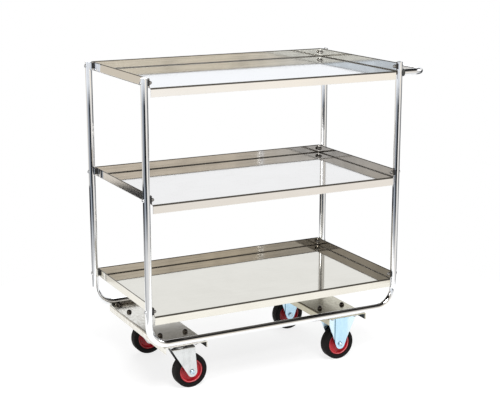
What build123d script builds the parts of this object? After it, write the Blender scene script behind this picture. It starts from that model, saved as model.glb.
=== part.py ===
from build123d import *
import math
import os

os.makedirs("parts", exist_ok=True)

# Driving dimensions, in millimetres.

# Wheels: black tyre on a red centre that turns on a steel bush.
wheel_diameter = 100.0
tyre_width = 30.0
tyre_shoulder = 5.0
hub_diameter = 70.0
hub_lip = 3.5
hub_width_share = 0.9
web_thickness = 9.0
boss_radius = 12.0
boss_side_gap = 1.5
bush_wall = 3.0
wheel_side_gap = 4.0
running_gap = 0.05
hole_gap = 0.2
cut_overrun = 1.0

# Castor forks and swivel heads.
fork_sheet = 3.0
fork_bend = 5.0
fork_end_radius = 15.0
fork_back_x = -30.0
fork_front_x = 43.0
castor_trail = 34.0
crown_gap = 24.0
race_radius = 20.0
lower_race_height = 5.0
ball_diameter = 6.0
ball_spacing = 1.06
race_play = 0.1
upper_race_height = 7.4
skirt_wall = 3.0
skirt_drop = 8.5
kingpin_radius = 5.0
kingpin_thread_radius = 4.0
kingpin_head_radius = 9.0
kingpin_head_height = 4.0
kingpin_nut_flats = 15.0
kingpin_nut_height = 7.0
plate_thickness = 3.0
plate_margin = 16.0
plate_length_extra = 10.0
plate_width_extra = 6.0
fixed_panel_half = 20.0
fixed_wing_angle = 14.0
fixed_top_inset = 1.0

# Axles and castor bolts, all with an eight millimetre shank.
axle_radius = 4.0
axle_flats = 13.0
axle_head_height = 5.3
axle_nut_height = 6.5
thread_end = 2.0
castor_head_radius = 7.5
castor_head_wall = 1.5

# Cross channels under the bottom tubes.
channel_sheet = 3.0
channel_bend = 5.0
channel_depth = 20.0
channel_side_room = 10.0
channel_overrun = 3.0
left_channel_inset = 110.0
right_channel_inset = 162.0
bolt_weld_gap = 0.5
weld_length_share = 0.8
weld_reach_share = 1.05

# Side frames of bent tube.
tube_diameter = 20.0
tube_wall = 1.5
post_span_x = 800.0
post_span_y = 420.0
frame_bend = 58.0
cap_lip = 1.0
cap_dome = 1.6
cap_stem_gap = 2.0

# Trays of folded sheet: three edges up, the front edge down.
tray_sheet = 1.2
tray_bend = 2.6
rim_height = 25.0
front_drop = 25.0
tray_side_inset = 2.0
first_floor_height = 86.5
tray_pitch = 314.0
tray_count = 3

# Corner fixings of the trays.
spacer_web = 2.5
spacer_height = 16.0
screw_height = 13.0
screw_radius = 3.0
screw_head_radius = 5.5
screw_head_height = 2.6
screw_head_rim = 0.6
dome_nut_flats = 9.6
dome_nut_base = 4.5
dome_nut_cap = 4.0

# Push handle at the right end.
handle_diameter = 19.0
handle_wall = 1.5
handle_length = 90.0
handle_bend = 35.0
handle_drop = 6.0
collar_thickness = 4.0
collar_radius = 11.5
plug_length = 24.0
handle_bolt_radius = 4.0
handle_head_radius = 6.0
handle_head_height = 2.4

# Values that follow from the ones above.
tube_radius = tube_diameter / 2
axle_z = wheel_diameter / 2
fork_gap = tyre_width + 2 * wheel_side_gap
fork_width = fork_gap + 2 * fork_sheet
crown_under_z = wheel_diameter + crown_gap
crown_top_z = crown_under_z + fork_sheet
lower_race_top_z = crown_top_z + lower_race_height
ball_z = lower_race_top_z + race_play + ball_diameter / 2
upper_race_under_z = ball_z + ball_diameter / 2
plate_under_z = upper_race_under_z + upper_race_height
plate_top_z = plate_under_z + plate_thickness
plate_length = wheel_diameter + plate_length_extra
plate_width = wheel_diameter + plate_width_extra
bolt_pitch_x = plate_length - 2 * plate_margin
bolt_pitch_y = plate_width - 2 * plate_margin
fixed_top_half = plate_length / 2 - fixed_top_inset
channel_top_z = plate_top_z + channel_sheet
channel_width = plate_length + 2 * channel_side_room
run_axis_z = channel_top_z + tube_radius
floor_tops = [run_axis_z + first_floor_height + tray_pitch * i for i in range(tray_count)]
post_end_z = floor_tops[-1] + rim_height
left_overhang = tube_radius + screw_head_rim + screw_head_height
right_overhang = handle_length + handle_diameter / 2
middle_x = (left_overhang - right_overhang) / 2
left_post_x = middle_x - post_span_x / 2
right_post_x = middle_x + post_span_x / 2
post_y = post_span_y / 2
tray_end_offset = tube_radius + spacer_web
tray_left_x = left_post_x + tray_end_offset
tray_right_x = right_post_x - tray_end_offset
tray_half_width = post_y + tube_radius - tray_side_inset
left_channel_x = left_post_x + left_channel_inset
right_channel_x = right_post_x - right_channel_inset
weld_reach = weld_reach_share * tube_radius
castor_y = post_y - weld_reach - bolt_weld_gap - castor_head_radius - bolt_pitch_y / 2
channel_half_length = post_y + channel_overrun
handle_z = floor_tops[-1] - handle_drop
bush_radius = axle_radius + hole_gap + bush_wall
nut_under_plate_z = plate_under_z - axle_nut_height
cap_stem = rim_height - screw_height - screw_radius - cap_stem_gap


def block(x0, x1, y0, y1, z0, z1):
    """A box between two opposite corners."""
    middle = Pos((x0 + x1) / 2, (y0 + y1) / 2, (z0 + z1) / 2)
    return middle * Box(x1 - x0, y1 - y0, z1 - z0)


def rod_x(radius, x0, x1, y, z):
    """A round bar along the length of the trolley."""
    return Pos((x0 + x1) / 2, y, z) * Rot(0, 90, 0) * Cylinder(radius, x1 - x0)


def rod_y(radius, x, y0, y1, z):
    """A round bar across the trolley."""
    return Pos(x, (y0 + y1) / 2, z) * Rot(90, 0, 0) * Cylinder(radius, y1 - y0)


def rod_z(radius, x, y, z0, z1):
    """An upright round bar."""
    return Pos(x, y, (z0 + z1) / 2) * Cylinder(radius, z1 - z0)


def dome(radius, height):
    """A spherical cap that stands on the plane z = 0."""
    ball_radius = (radius**2 + height**2) / (2 * height)
    ball = Pos(0, 0, height - ball_radius) * Sphere(ball_radius)
    wide = radius + cut_overrun
    return ball & block(-wide, wide, -wide, wide, 0, height + cut_overrun)


def hexagon(flats, height):
    """A hexagonal prism that stands on the plane z = 0, with two flats facing y."""
    return extrude(RegularPolygon(flats / 2, 6, major_radius=False), height)


def pipe(points, bend, radius, wall):
    """A bent tube along the given corner points."""
    path = FilletPolyline(*points, radius=bend)
    start = Plane(origin=path @ 0, z_dir=path % 0)
    outer = sweep(start * Circle(radius), path=path)
    inner = sweep(start * Circle(radius - wall), path=path)
    return outer - inner


def save(name, *pieces):
    """Write one subcomponent, which may be a group of equal solids."""
    solids = [solid for piece in pieces for solid in piece.solids()]
    shape = solids[0] if len(solids) == 1 else Compound(solids)
    export_step(shape, f"parts/{name}.step")


# Places of the corner fixings: post x, side along x that the head faces, post y, screw height.
corners = [
    (post_x, side, y, floor_z + screw_height)
    for post_x, side in ((left_post_x, -1), (right_post_x, 1))
    for y in (-post_y, post_y)
    for floor_z in floor_tops
]


def side_frame(y):
    """One bent tube: two posts and the bottom run, drilled for screws and handle bolts."""
    tube = pipe(
        [
            (left_post_x, y, post_end_z),
            (left_post_x, y, run_axis_z),
            (right_post_x, y, run_axis_z),
            (right_post_x, y, post_end_z),
        ],
        frame_bend,
        tube_radius,
        tube_wall,
    )
    for post_x, side, post_at, z in corners:
        if post_at == y:
            tube -= rod_x(screw_radius + hole_gap, post_x - tube_diameter, post_x + tube_diameter, y, z)
    bolt_hole = handle_bolt_radius + hole_gap
    tube -= rod_x(bolt_hole, right_post_x - tube_diameter, right_post_x + tube_diameter, y, handle_z)
    return tube


save("side_frame_front", side_frame(-post_y))
save("side_frame_rear", side_frame(post_y))


def post_cap(x, y):
    """A domed plug that closes the open top of a post."""
    lip = rod_z(tube_radius, x, y, post_end_z, post_end_z + cap_lip)
    top = Pos(x, y, post_end_z + cap_lip) * dome(tube_radius, cap_dome)
    stem = rod_z(tube_radius - tube_wall - running_gap, x, y, post_end_z - cap_stem, post_end_z)
    return lip + top + stem


save("post_caps", *[post_cap(x, y) for x in (left_post_x, right_post_x) for y in (-post_y, post_y)])


def tray(floor_z):
    """A folded sheet tray with its floor surface at the given height."""
    under_z = floor_z - tray_sheet
    top_z = floor_z + rim_height
    front_y = -tray_half_width + tray_bend
    inner_bend = tray_bend - tray_sheet
    outer = block(tray_left_x, tray_right_x, -tray_half_width, tray_half_width, under_z, top_z)
    low = outer.edges().group_by(Axis.Z)[0]
    folds = low.filter_by(Axis.Y) + [low.filter_by(Axis.X).sort_by(Axis.Y)[-1]]
    folds += outer.edges().filter_by(Axis.Z).group_by(Axis.Y)[-1]
    outer = fillet(folds, tray_bend)
    inner = block(
        tray_left_x + tray_sheet,
        tray_right_x - tray_sheet,
        -2 * tray_half_width,
        tray_half_width - tray_sheet,
        floor_z,
        top_z + rim_height,
    )
    low = inner.edges().group_by(Axis.Z)[0]
    folds = low.filter_by(Axis.Y) + [low.filter_by(Axis.X).sort_by(Axis.Y)[-1]]
    folds += inner.edges().filter_by(Axis.Z).group_by(Axis.Y)[-1]
    inner = fillet(folds, inner_bend)
    pan = outer - inner
    pan -= block(
        tray_left_x - cut_overrun,
        tray_right_x + cut_overrun,
        -2 * tray_half_width,
        front_y,
        under_z - cut_overrun,
        top_z + cut_overrun,
    )
    fold_x0 = tray_left_x + tray_bend
    fold_x1 = tray_right_x - tray_bend
    fold_z = floor_z - tray_bend
    fold = rod_x(tray_bend, fold_x0, fold_x1, front_y, fold_z)
    fold -= rod_x(inner_bend, fold_x0 - cut_overrun, fold_x1 + cut_overrun, front_y, fold_z)
    fold &= block(fold_x0, fold_x1, -tray_half_width, front_y, fold_z, floor_z)
    face_y = -tray_half_width
    face = block(fold_x0, fold_x1, face_y, face_y + tray_sheet, floor_z - front_drop, fold_z)
    pan = pan + fold + face
    hole = screw_radius + hole_gap
    hole_z = floor_z + screw_height
    reach = tray_bend + cut_overrun
    for y in (-post_y, post_y):
        pan -= rod_x(hole, tray_left_x - cut_overrun, tray_left_x + reach, y, hole_z)
        pan -= rod_x(hole, tray_right_x - reach, tray_right_x + cut_overrun, y, hole_z)
    return pan


for tray_name, floor_top in zip(("tray_bottom", "tray_middle", "tray_top"), floor_tops):
    save(tray_name, tray(floor_top))


def tray_spacer(post_x, side, y, z):
    """A saddle block between a post and the end of a tray."""
    start = 0.6 * tube_radius
    half = 0.7 * tube_radius
    tall = spacer_height / 2
    saddle = block(start, tray_end_offset, -half, half, -tall, tall)
    saddle -= rod_z(tube_radius, 0, 0, -spacer_height, spacer_height)
    saddle -= rod_x(screw_radius + hole_gap, 0, tube_diameter + tray_end_offset, 0, 0)
    turn = 180 if side > 0 else 0
    return Pos(post_x, y, z) * Rot(0, 0, turn) * saddle


def tray_screw(post_x, side, y, z):
    """A dome-headed screw from the outer side of a post into the tray."""
    neck = math.sqrt(tube_radius**2 - screw_head_radius**2)
    rim = tube_radius + screw_head_rim
    inner_end = tray_end_offset + tray_sheet + dome_nut_base
    head = rod_x(screw_head_radius, -rim, -neck, 0, 0)
    head -= rod_z(tube_radius, 0, 0, -tube_diameter, tube_diameter)
    head += Pos(-rim, 0, 0) * Rot(0, -90, 0) * dome(screw_head_radius, screw_head_height)
    screw = head + rod_x(screw_radius, -rim, inner_end, 0, 0)
    turn = 180 if side > 0 else 0
    return Pos(post_x, y, z) * Rot(0, 0, turn) * screw


def tray_nut(post_x, side, y, z):
    """A dome nut on the inner face of a tray end."""
    nut = hexagon(dome_nut_flats, dome_nut_base)
    nut += Pos(0, 0, dome_nut_base) * dome(dome_nut_flats / 2 - 0.2, dome_nut_cap)
    nut -= rod_z(screw_radius + running_gap, 0, 0, 0, dome_nut_base + cut_overrun)
    nut = Pos(tray_end_offset + tray_sheet, 0, 0) * Rot(0, 90, 0) * nut
    turn = 180 if side > 0 else 0
    return Pos(post_x, y, z) * Rot(0, 0, turn) * nut


save("tray_spacers", *[tray_spacer(*corner) for corner in corners])
save("tray_screws", *[tray_screw(*corner) for corner in corners])
save("tray_nuts", *[tray_nut(*corner) for corner in corners])

# Push handle: a tube bow whose two ends stand on collars on the right posts.
leg_start_x = right_post_x + tube_radius + collar_thickness
grip_x = right_post_x + handle_length
handle_radius = handle_diameter / 2
push_handle = pipe(
    [
        (leg_start_x, -post_y, handle_z),
        (grip_x, -post_y, handle_z),
        (grip_x, post_y, handle_z),
        (leg_start_x, post_y, handle_z),
    ],
    handle_bend,
    handle_radius,
    handle_wall,
)
save("push_handle", push_handle)


def handle_collar(y):
    """A saddle ring between a post and the end of the handle."""
    saddle_x = right_post_x + 0.5 * tube_radius
    ring = rod_x(collar_radius, saddle_x, leg_start_x, y, handle_z)
    ring -= rod_z(tube_radius, right_post_x, y, handle_z - tube_diameter, handle_z + tube_diameter)
    hole = handle_bolt_radius + hole_gap
    return ring - rod_x(hole, right_post_x, leg_start_x + cut_overrun, y, handle_z)


def handle_plug(y):
    """A threaded plug in the end of the handle tube."""
    outer = handle_radius - handle_wall - running_gap
    end_x = leg_start_x + plug_length
    bore = handle_bolt_radius + running_gap
    plug = rod_x(outer, leg_start_x, end_x, y, handle_z)
    return plug - rod_x(bore, leg_start_x - cut_overrun, end_x + cut_overrun, y, handle_z)


def handle_bolt(y):
    """A dome-headed bolt from the inner side of a post into the plug."""
    neck = math.sqrt(tube_radius**2 - handle_head_radius**2)
    rim = tube_radius + screw_head_rim
    head = rod_x(handle_head_radius, -rim, -neck, 0, 0)
    head -= rod_z(tube_radius, 0, 0, -tube_diameter, tube_diameter)
    head += Pos(-rim, 0, 0) * Rot(0, -90, 0) * dome(handle_head_radius, handle_head_height)
    bolt_end = tube_radius + collar_thickness + plug_length - thread_end
    bolt = head + rod_x(handle_bolt_radius, -rim, bolt_end, 0, 0)
    return Pos(right_post_x, y, handle_z) * bolt


save("handle_collars", handle_collar(-post_y), handle_collar(post_y))
save("handle_plugs", handle_plug(-post_y), handle_plug(post_y))
save("handle_bolts", handle_bolt(-post_y), handle_bolt(post_y))


def bolt_places(channel_x):
    """Places of the castor bolts on one channel."""
    return [
        (channel_x + sx * bolt_pitch_x / 2, sy * castor_y + py * bolt_pitch_y / 2)
        for sy in (-1, 1)
        for sx in (-1, 1)
        for py in (-1, 1)
    ]


def castor_channel(channel_x):
    """An inverted channel of folded sheet under both bottom tubes."""
    half = channel_width / 2
    end = channel_half_length
    low_z = channel_top_z - channel_depth
    outer = block(channel_x - half, channel_x + half, -end, end, low_z, channel_top_z)
    outer = fillet(outer.edges().filter_by(Axis.Y).group_by(Axis.Z)[-1], channel_bend)
    inner_half = half - channel_sheet
    inner_top = channel_top_z - channel_sheet
    inner = block(
        channel_x - inner_half,
        channel_x + inner_half,
        -end - cut_overrun,
        end + cut_overrun,
        low_z - cut_overrun,
        inner_top,
    )
    inner = fillet(inner.edges().filter_by(Axis.Y).group_by(Axis.Z)[-1], channel_bend - channel_sheet)
    channel = outer - inner
    hole = axle_radius + hole_gap
    for x, y in bolt_places(channel_x):
        channel -= rod_z(hole, x, y, inner_top - cut_overrun, channel_top_z + cut_overrun)
    return channel


def channel_weld(channel_x, side):
    """A weld bead in the corner between a bottom tube and a channel."""
    half = weld_length_share * channel_width / 2
    toe = tube_radius
    bead = Plane.YZ * Polygon(
        (0.35 * toe, 0),
        (weld_reach, 0),
        (0.88 * toe, 0.62 * toe),
        align=None,
    )
    bead = extrude(bead, half, both=True)
    bead -= rod_x(tube_radius, -channel_width, channel_width, 0, tube_radius)
    turn = 0 if side < 0 else 180
    return Pos(channel_x, side * post_y, channel_top_z) * Rot(0, 0, turn) * bead


def castor_bolt(x, y):
    """A round-headed bolt through channel and castor plate."""
    dome_z = channel_top_z + castor_head_wall
    head = rod_z(castor_head_radius, x, y, channel_top_z, dome_z)
    head += Pos(x, y, dome_z) * dome(castor_head_radius, castor_head_radius)
    return head + rod_z(axle_radius, x, y, nut_under_plate_z - thread_end, channel_top_z)


def castor_nut(x, y):
    """A hexagon nut under a castor plate."""
    low_z = nut_under_plate_z
    nut = Pos(x, y, low_z) * hexagon(axle_flats, axle_nut_height)
    return nut - rod_z(axle_radius + running_gap, x, y, low_z - cut_overrun, plate_under_z + cut_overrun)


channels = (("left", left_channel_x), ("right", right_channel_x))
for channel_name, channel_x in channels:
    save(f"castor_channel_{channel_name}", castor_channel(channel_x))
    save(f"castor_bolts_{channel_name}", *[castor_bolt(*place) for place in bolt_places(channel_x)])
    save(f"castor_nuts_{channel_name}", *[castor_nut(*place) for place in bolt_places(channel_x)])
save("channel_welds", *[channel_weld(x, side) for _, x in channels for side in (-1, 1)])


def tangent_point(point, centre, radius, side):
    """Where a line from a point touches a circle, on the left (+1) or right (-1) side of it."""
    dx = point[0] - centre[0]
    dz = point[1] - centre[1]
    distance = math.hypot(dx, dz)
    angle = math.atan2(dz, dx) + side * math.acos(radius / distance)
    return (centre[0] + radius * math.cos(angle), centre[1] + radius * math.sin(angle))


def leg_outline(back_x, front_x, top_z, wheel_x, depth):
    """A fork leg seen from the side, wide at the top and round about the axle, as a solid across y."""
    centre = (wheel_x, axle_z)
    back = tangent_point((back_x, top_z), centre, fork_end_radius, 1)
    front = tangent_point((front_x, top_z), centre, fork_end_radius, -1)
    low = (wheel_x, axle_z - fork_end_radius)
    edge = Polyline(back, (back_x, top_z), (front_x, top_z), front) + ThreePointArc(front, low, back)
    return extrude(Plane.XZ * make_face(edge), depth, both=True)


def plate_blank(x, y):
    """A castor plate with its four bolt holes."""
    half_x = plate_length / 2
    half_y = plate_width / 2
    plate = block(x - half_x, x + half_x, y - half_y, y + half_y, plate_under_z, plate_top_z)
    plate = fillet(plate.edges().filter_by(Axis.Z), plate_margin / 2)
    low_z = plate_under_z - cut_overrun
    high_z = plate_top_z + cut_overrun
    for sx in (-1, 1):
        for sy in (-1, 1):
            hole_x = x + sx * bolt_pitch_x / 2
            hole_y = y + sy * bolt_pitch_y / 2
            plate -= rod_z(axle_radius + hole_gap, hole_x, hole_y, low_z, high_z)
    return plate


def swivel_plate(x, y):
    """The fixed upper part of a swivel castor: plate, upper race and dust skirt."""
    skirt_inner = race_radius + 0.5 * skirt_wall
    skirt_outer = skirt_inner + skirt_wall
    plate = plate_blank(x, y)
    plate += rod_z(skirt_outer, x, y, upper_race_under_z, plate_under_z)
    skirt_low_z = upper_race_under_z - skirt_drop
    skirt = rod_z(skirt_outer, x, y, skirt_low_z, upper_race_under_z)
    skirt -= rod_z(skirt_inner, x, y, skirt_low_z - cut_overrun, upper_race_under_z)
    plate += skirt
    seat_z = plate_top_z - kingpin_head_height
    plate -= rod_z(kingpin_head_radius + hole_gap, x, y, seat_z, plate_top_z + cut_overrun)
    plate -= rod_z(kingpin_radius + hole_gap, x, y, upper_race_under_z - cut_overrun, seat_z)
    return plate


def kingpin(x, y):
    """The pivot pin of a swivel castor, with a sunk head and a shouldered thread."""
    seat_z = plate_top_z - kingpin_head_height
    shoulder_z = crown_under_z - race_play
    pin = rod_z(kingpin_head_radius, x, y, seat_z, plate_top_z - hole_gap)
    pin += rod_z(kingpin_radius, x, y, shoulder_z, seat_z)
    thread_low_z = shoulder_z - kingpin_nut_height - thread_end / 2
    pin += rod_z(kingpin_thread_radius, x, y, thread_low_z, shoulder_z)
    return pin


def kingpin_nut(x, y):
    """The nut that carries the fork crown from below."""
    shoulder_z = crown_under_z - race_play
    low_z = shoulder_z - kingpin_nut_height
    nut = Pos(x, y, low_z) * hexagon(kingpin_nut_flats, kingpin_nut_height)
    bore = kingpin_thread_radius + running_gap
    return nut - rod_z(bore, x, y, low_z - cut_overrun, shoulder_z + cut_overrun)


def swivel_balls(x, y):
    """The ring of balls between the two races."""
    pitch = race_radius - ball_diameter / 2 - 1
    ball_count = math.floor(2 * math.pi * pitch / (ball_spacing * ball_diameter))
    angles = [2 * math.pi * i / ball_count for i in range(ball_count)]
    return [
        Pos(x + pitch * math.cos(a), y + pitch * math.sin(a), ball_z) * Sphere(ball_diameter / 2)
        for a in angles
    ]


def swivel_fork(x, y):
    """The turning fork: two legs, the crown and the lower race, in one pressing."""
    half = fork_width / 2
    low_x = fork_back_x - cut_overrun
    high_x = castor_trail + 2 * fork_end_radius
    outer = block(low_x, high_x, -half, half, 0, crown_top_z)
    outer = fillet(outer.edges().filter_by(Axis.X).group_by(Axis.Z)[-1], fork_bend)
    inner_half = fork_gap / 2
    inner = block(
        low_x - cut_overrun,
        high_x + cut_overrun,
        -inner_half,
        inner_half,
        -cut_overrun,
        crown_under_z,
    )
    inner = fillet(inner.edges().filter_by(Axis.X).group_by(Axis.Z)[-1], fork_bend - fork_sheet)
    fork = outer - inner
    fork &= leg_outline(fork_back_x, fork_front_x, crown_top_z, castor_trail, fork_width)
    fork += rod_z(min(race_radius, half - fork_bend + fork_sheet), 0, 0, crown_under_z, lower_race_top_z)
    bore = kingpin_radius + running_gap
    fork -= rod_z(bore, 0, 0, crown_under_z - cut_overrun, lower_race_top_z + cut_overrun)
    fork -= rod_y(axle_radius + hole_gap, castor_trail, -fork_width, fork_width, axle_z)
    return Pos(x, y, 0) * fork


def fixed_fork(x, y):
    """A fixed castor: plate and two upright legs whose edges are turned away from the wheel."""
    half = fork_width / 2
    outline = leg_outline(-fixed_top_half, fixed_top_half, plate_under_z, 0, fork_width)
    leg = outline & block(-fixed_top_half, fixed_top_half, -half, -half + fork_sheet, 0, plate_under_z)
    wide = 2 * fixed_top_half
    panel = leg & block(-fixed_panel_half, fixed_panel_half, -half, half, 0, plate_under_z)
    wing = leg & block(fixed_panel_half, wide, -half, half, 0, plate_under_z)
    crease = Pos(fixed_panel_half, fork_sheet - half, 0)
    wing = crease * Rot(0, 0, -fixed_wing_angle) * Pos(-fixed_panel_half, half - fork_sheet, 0) * wing
    front_leg = panel + wing + mirror(wing, about=Plane.YZ)
    rear_leg = mirror(front_leg, about=Plane.XZ)
    fork = Pos(x, y, 0) * (front_leg + rear_leg)
    fork += plate_blank(x, y)
    return fork - rod_y(axle_radius + hole_gap, x, y - fork_width, y + fork_width, axle_z)


def axle(x, y):
    """A hexagon-headed axle bolt with its head at the front."""
    face = fork_width / 2
    head = Pos(x, y - face, axle_z) * Rot(90, 0, 0) * hexagon(axle_flats, axle_head_height)
    end = face + axle_nut_height + thread_end
    return head + rod_y(axle_radius, x, y - face, y + end, axle_z)


def axle_nut(x, y):
    """The nut at the rear end of an axle."""
    face = y + fork_width / 2
    end = face + axle_nut_height
    nut = Pos(x, end, axle_z) * Rot(90, 0, 0) * hexagon(axle_flats, axle_nut_height)
    return nut - rod_y(axle_radius + running_gap, x, face - cut_overrun, end + cut_overrun, axle_z)


def axle_bush(x, y):
    """The steel sleeve between the fork legs on which the wheel turns."""
    half = fork_gap / 2
    sleeve = rod_y(bush_radius, x, y - half, y + half, axle_z)
    over = half + cut_overrun
    return sleeve - rod_y(axle_radius + hole_gap, x, y - over, y + over, axle_z)


def wheel_hub(x, y):
    """The wheel centre: rim, dished web and boss."""
    rim_half = hub_width_share * tyre_width / 2
    web_half = web_thickness / 2
    boss_half = fork_gap / 2 - boss_side_gap
    hub_radius = hub_diameter / 2
    dish_radius = hub_radius - hub_lip
    dish_end = rim_half + cut_overrun
    bore_end = boss_half + cut_overrun
    hub = rod_y(hub_radius, x, y - rim_half, y + rim_half, axle_z)
    hub -= rod_y(dish_radius, x, y - dish_end, y - web_half, axle_z)
    hub -= rod_y(dish_radius, x, y + web_half, y + dish_end, axle_z)
    hub += rod_y(boss_radius, x, y - boss_half, y + boss_half, axle_z)
    return hub - rod_y(bush_radius + running_gap, x, y - bore_end, y + bore_end, axle_z)


def wheel_tyre(x, y):
    """The rubber tyre on the wheel centre."""
    half = tyre_width / 2
    tyre = rod_y(wheel_diameter / 2, x, y - half, y + half, axle_z)
    tyre = fillet(tyre.edges().filter_by(GeomType.CIRCLE), tyre_shoulder)
    over = half + cut_overrun
    return tyre - rod_y(hub_diameter / 2, x, y - over, y + over, axle_z)


rows = (("front", -castor_y), ("rear", castor_y))
for row, y in rows:
    save(f"swivel_plate_{row}", swivel_plate(left_channel_x, y))
    save(f"kingpin_{row}", kingpin(left_channel_x, y))
    save(f"kingpin_nut_{row}", kingpin_nut(left_channel_x, y))
    save(f"swivel_balls_{row}", *swivel_balls(left_channel_x, y))
    save(f"swivel_fork_{row}", swivel_fork(left_channel_x, y))
    save(f"fixed_fork_{row}", fixed_fork(right_channel_x, y))

places = (("swivel", left_channel_x + castor_trail), ("fixed", right_channel_x))
for kind, x in places:
    for row, y in rows:
        save(f"{kind}_axle_{row}", axle(x, y))
        save(f"{kind}_axle_nut_{row}", axle_nut(x, y))
        save(f"{kind}_bush_{row}", axle_bush(x, y))
        save(f"{kind}_hub_{row}", wheel_hub(x, y))
        save(f"{kind}_tyre_{row}", wheel_tyre(x, y))
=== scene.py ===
"""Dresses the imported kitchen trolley: finishes, fasteners, wheels, studio and camera."""

import logging
import math
from dataclasses import dataclass, field, replace
from enum import Enum

import bpy
from mathutils import Matrix, Vector


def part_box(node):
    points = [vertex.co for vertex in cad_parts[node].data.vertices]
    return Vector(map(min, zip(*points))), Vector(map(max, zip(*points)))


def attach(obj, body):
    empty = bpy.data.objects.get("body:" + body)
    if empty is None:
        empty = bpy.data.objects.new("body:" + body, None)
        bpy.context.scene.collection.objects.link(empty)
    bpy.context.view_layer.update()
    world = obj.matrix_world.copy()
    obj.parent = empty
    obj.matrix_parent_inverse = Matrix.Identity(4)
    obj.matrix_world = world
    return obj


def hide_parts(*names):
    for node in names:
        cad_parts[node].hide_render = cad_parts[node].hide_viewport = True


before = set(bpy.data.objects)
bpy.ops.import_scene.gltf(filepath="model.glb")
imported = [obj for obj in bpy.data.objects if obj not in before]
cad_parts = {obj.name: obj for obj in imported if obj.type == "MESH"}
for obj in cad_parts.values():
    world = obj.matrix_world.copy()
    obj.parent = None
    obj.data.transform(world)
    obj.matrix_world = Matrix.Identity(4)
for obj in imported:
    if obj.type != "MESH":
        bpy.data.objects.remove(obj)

LOG = logging.getLogger("trolley")
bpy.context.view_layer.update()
ROOT_BODY = "trolley"

Colour = tuple[float, float, float]
Place = tuple[float, float, float]
Fade = tuple[float, float]
Profile = list[tuple[float, float]]
Ring = list[Place]
Stops = tuple[tuple[float, float, float], ...]
Socket = bpy.types.NodeSocket
Value = Socket | float


class Row(Enum):
    """The two long sides of the trolley."""

    FRONT = "front"
    REAR = "rear"


class Kind(Enum):
    """The two kinds of castor."""

    SWIVEL = "swivel"
    FIXED = "fixed"


class Effect(Enum):
    """Surface effects that several finishes share."""

    STREAKS = "streaks"
    SMUDGES = "smudges"
    WAVES = "sheet_waves"
    WEAR = "edge_wear"


# Node trees


@dataclass
class Wiring:
    """Adds nodes to one tree and joins their sockets."""

    tree: bpy.types.NodeTree

    def add(self, node_type: str, inputs: dict | None = None, **settings: object) -> bpy.types.Node:
        """Adds a node.

        Args:
            node_type: class name of the node.
            inputs: constants or sockets, by the name or number of the input.
            settings: properties of the node.

        Returns:
            The new node.
        """
        made = self.tree.nodes.new(node_type)
        for name, value in settings.items():
            setattr(made, name, value)
        for key, value in (inputs or {}).items():
            if isinstance(value, Socket):
                self.tree.links.new(value, made.inputs[key])
            else:
                made.inputs[key].default_value = value
        return made

    def join(self, start: Socket, end: Socket) -> None:
        """Links two sockets."""
        self.tree.links.new(start, end)

    def calc(self, operation: str, first: Value, second: Value = 0.0) -> Socket:
        """Adds a Math node and gives its result."""
        return self.add("ShaderNodeMath", {0: first, 1: second}, operation=operation).outputs[0]

    def vector(
        self, operation: str, first: Socket | Place, second: Socket | Place
    ) -> bpy.types.NodeOutputs:
        """Adds a Vector Math node and gives its outputs."""
        return self.add("ShaderNodeVectorMath", {0: first, 1: second}, operation=operation).outputs

    def combine(self, **axes: Value) -> Socket:
        """Adds a Combine XYZ node and gives its vector."""
        return self.add("ShaderNodeCombineXYZ", axes).outputs[0]

    def parts(self, vector: Socket) -> bpy.types.NodeOutputs:
        """Adds a Separate XYZ node and gives the vector's parts."""
        return self.add("ShaderNodeSeparateXYZ", {0: vector}).outputs

    def span(
        self, value: Socket, low: float, high: float, to_low: float = 0.0, to_high: float = 1.0
    ) -> Socket:
        """Adds a Map Range node that clamps: low becomes to_low, and high becomes to_high."""
        values = {0: value, 1: low, 2: high, 3: to_low, 4: to_high}
        return self.add("ShaderNodeMapRange", values, clamp=True).outputs[0]

    def mix(self, factor: Value, first: Socket | Colour, second: Socket | Colour) -> Socket:
        """Adds a colour Mix node.

        Args:
            factor: constant or socket, 0 for the first colour.
            first: colour or socket.
            second: colour or socket.

        Returns:
            The mixed colour.
        """
        ends = [end if isinstance(end, Socket) else (*end, 1.0) for end in (first, second)]
        # The node's colours go in at 6 and 7 and come out at 2.
        values = {0: factor, 6: ends[0], 7: ends[1]}
        return self.add("ShaderNodeMix", values, data_type="RGBA").outputs[2]

    def noise(self, vector: Socket, scale: Value, detail: float = 2.0, **inputs: float) -> Socket:
        """Adds a Noise Texture and gives its value, about 0.5."""
        values = {"Vector": vector, "Scale": scale, "Detail": detail, **inputs}
        return self.add("ShaderNodeTexNoise", values).outputs["Fac"]

    def bump(self, height: Socket, depth: float, normal: Socket | None = None) -> Socket:
        """Adds a Bump node.

        Args:
            height: height as a share of the depth.
            depth: full height in metres.
            normal: normal to build on.

        Returns:
            The bumped normal.
        """
        values = {"Height": height, "Strength": 1.0, "Distance": depth}
        if normal is not None:
            values["Normal"] = normal
        return self.add("ShaderNodeBump", values).outputs[0]


def open_tree(
    name: str, tree_type: str, inputs: dict[str, str], outputs: dict[str, str]
) -> tuple[Wiring, bpy.types.NodeOutputs, bpy.types.NodeInputs]:
    """Starts a node group.

    Args:
        name: name of the group.
        tree_type: class name of the tree.
        inputs: socket type by input name, without its common start.
        outputs: socket type by output name, without its common start.

    Returns:
        The wiring, the group's input sockets and its output node's sockets.
    """
    tree = bpy.data.node_groups.new(name, tree_type)
    for side, sockets in (("INPUT", inputs), ("OUTPUT", outputs)):
        for socket, socket_type in sockets.items():
            tree.interface.new_socket(socket, in_out=side, socket_type="NodeSocket" + socket_type)
    wiring = Wiring(tree)
    return wiring, wiring.add("NodeGroupInput").outputs, wiring.add("NodeGroupOutput").inputs


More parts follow.
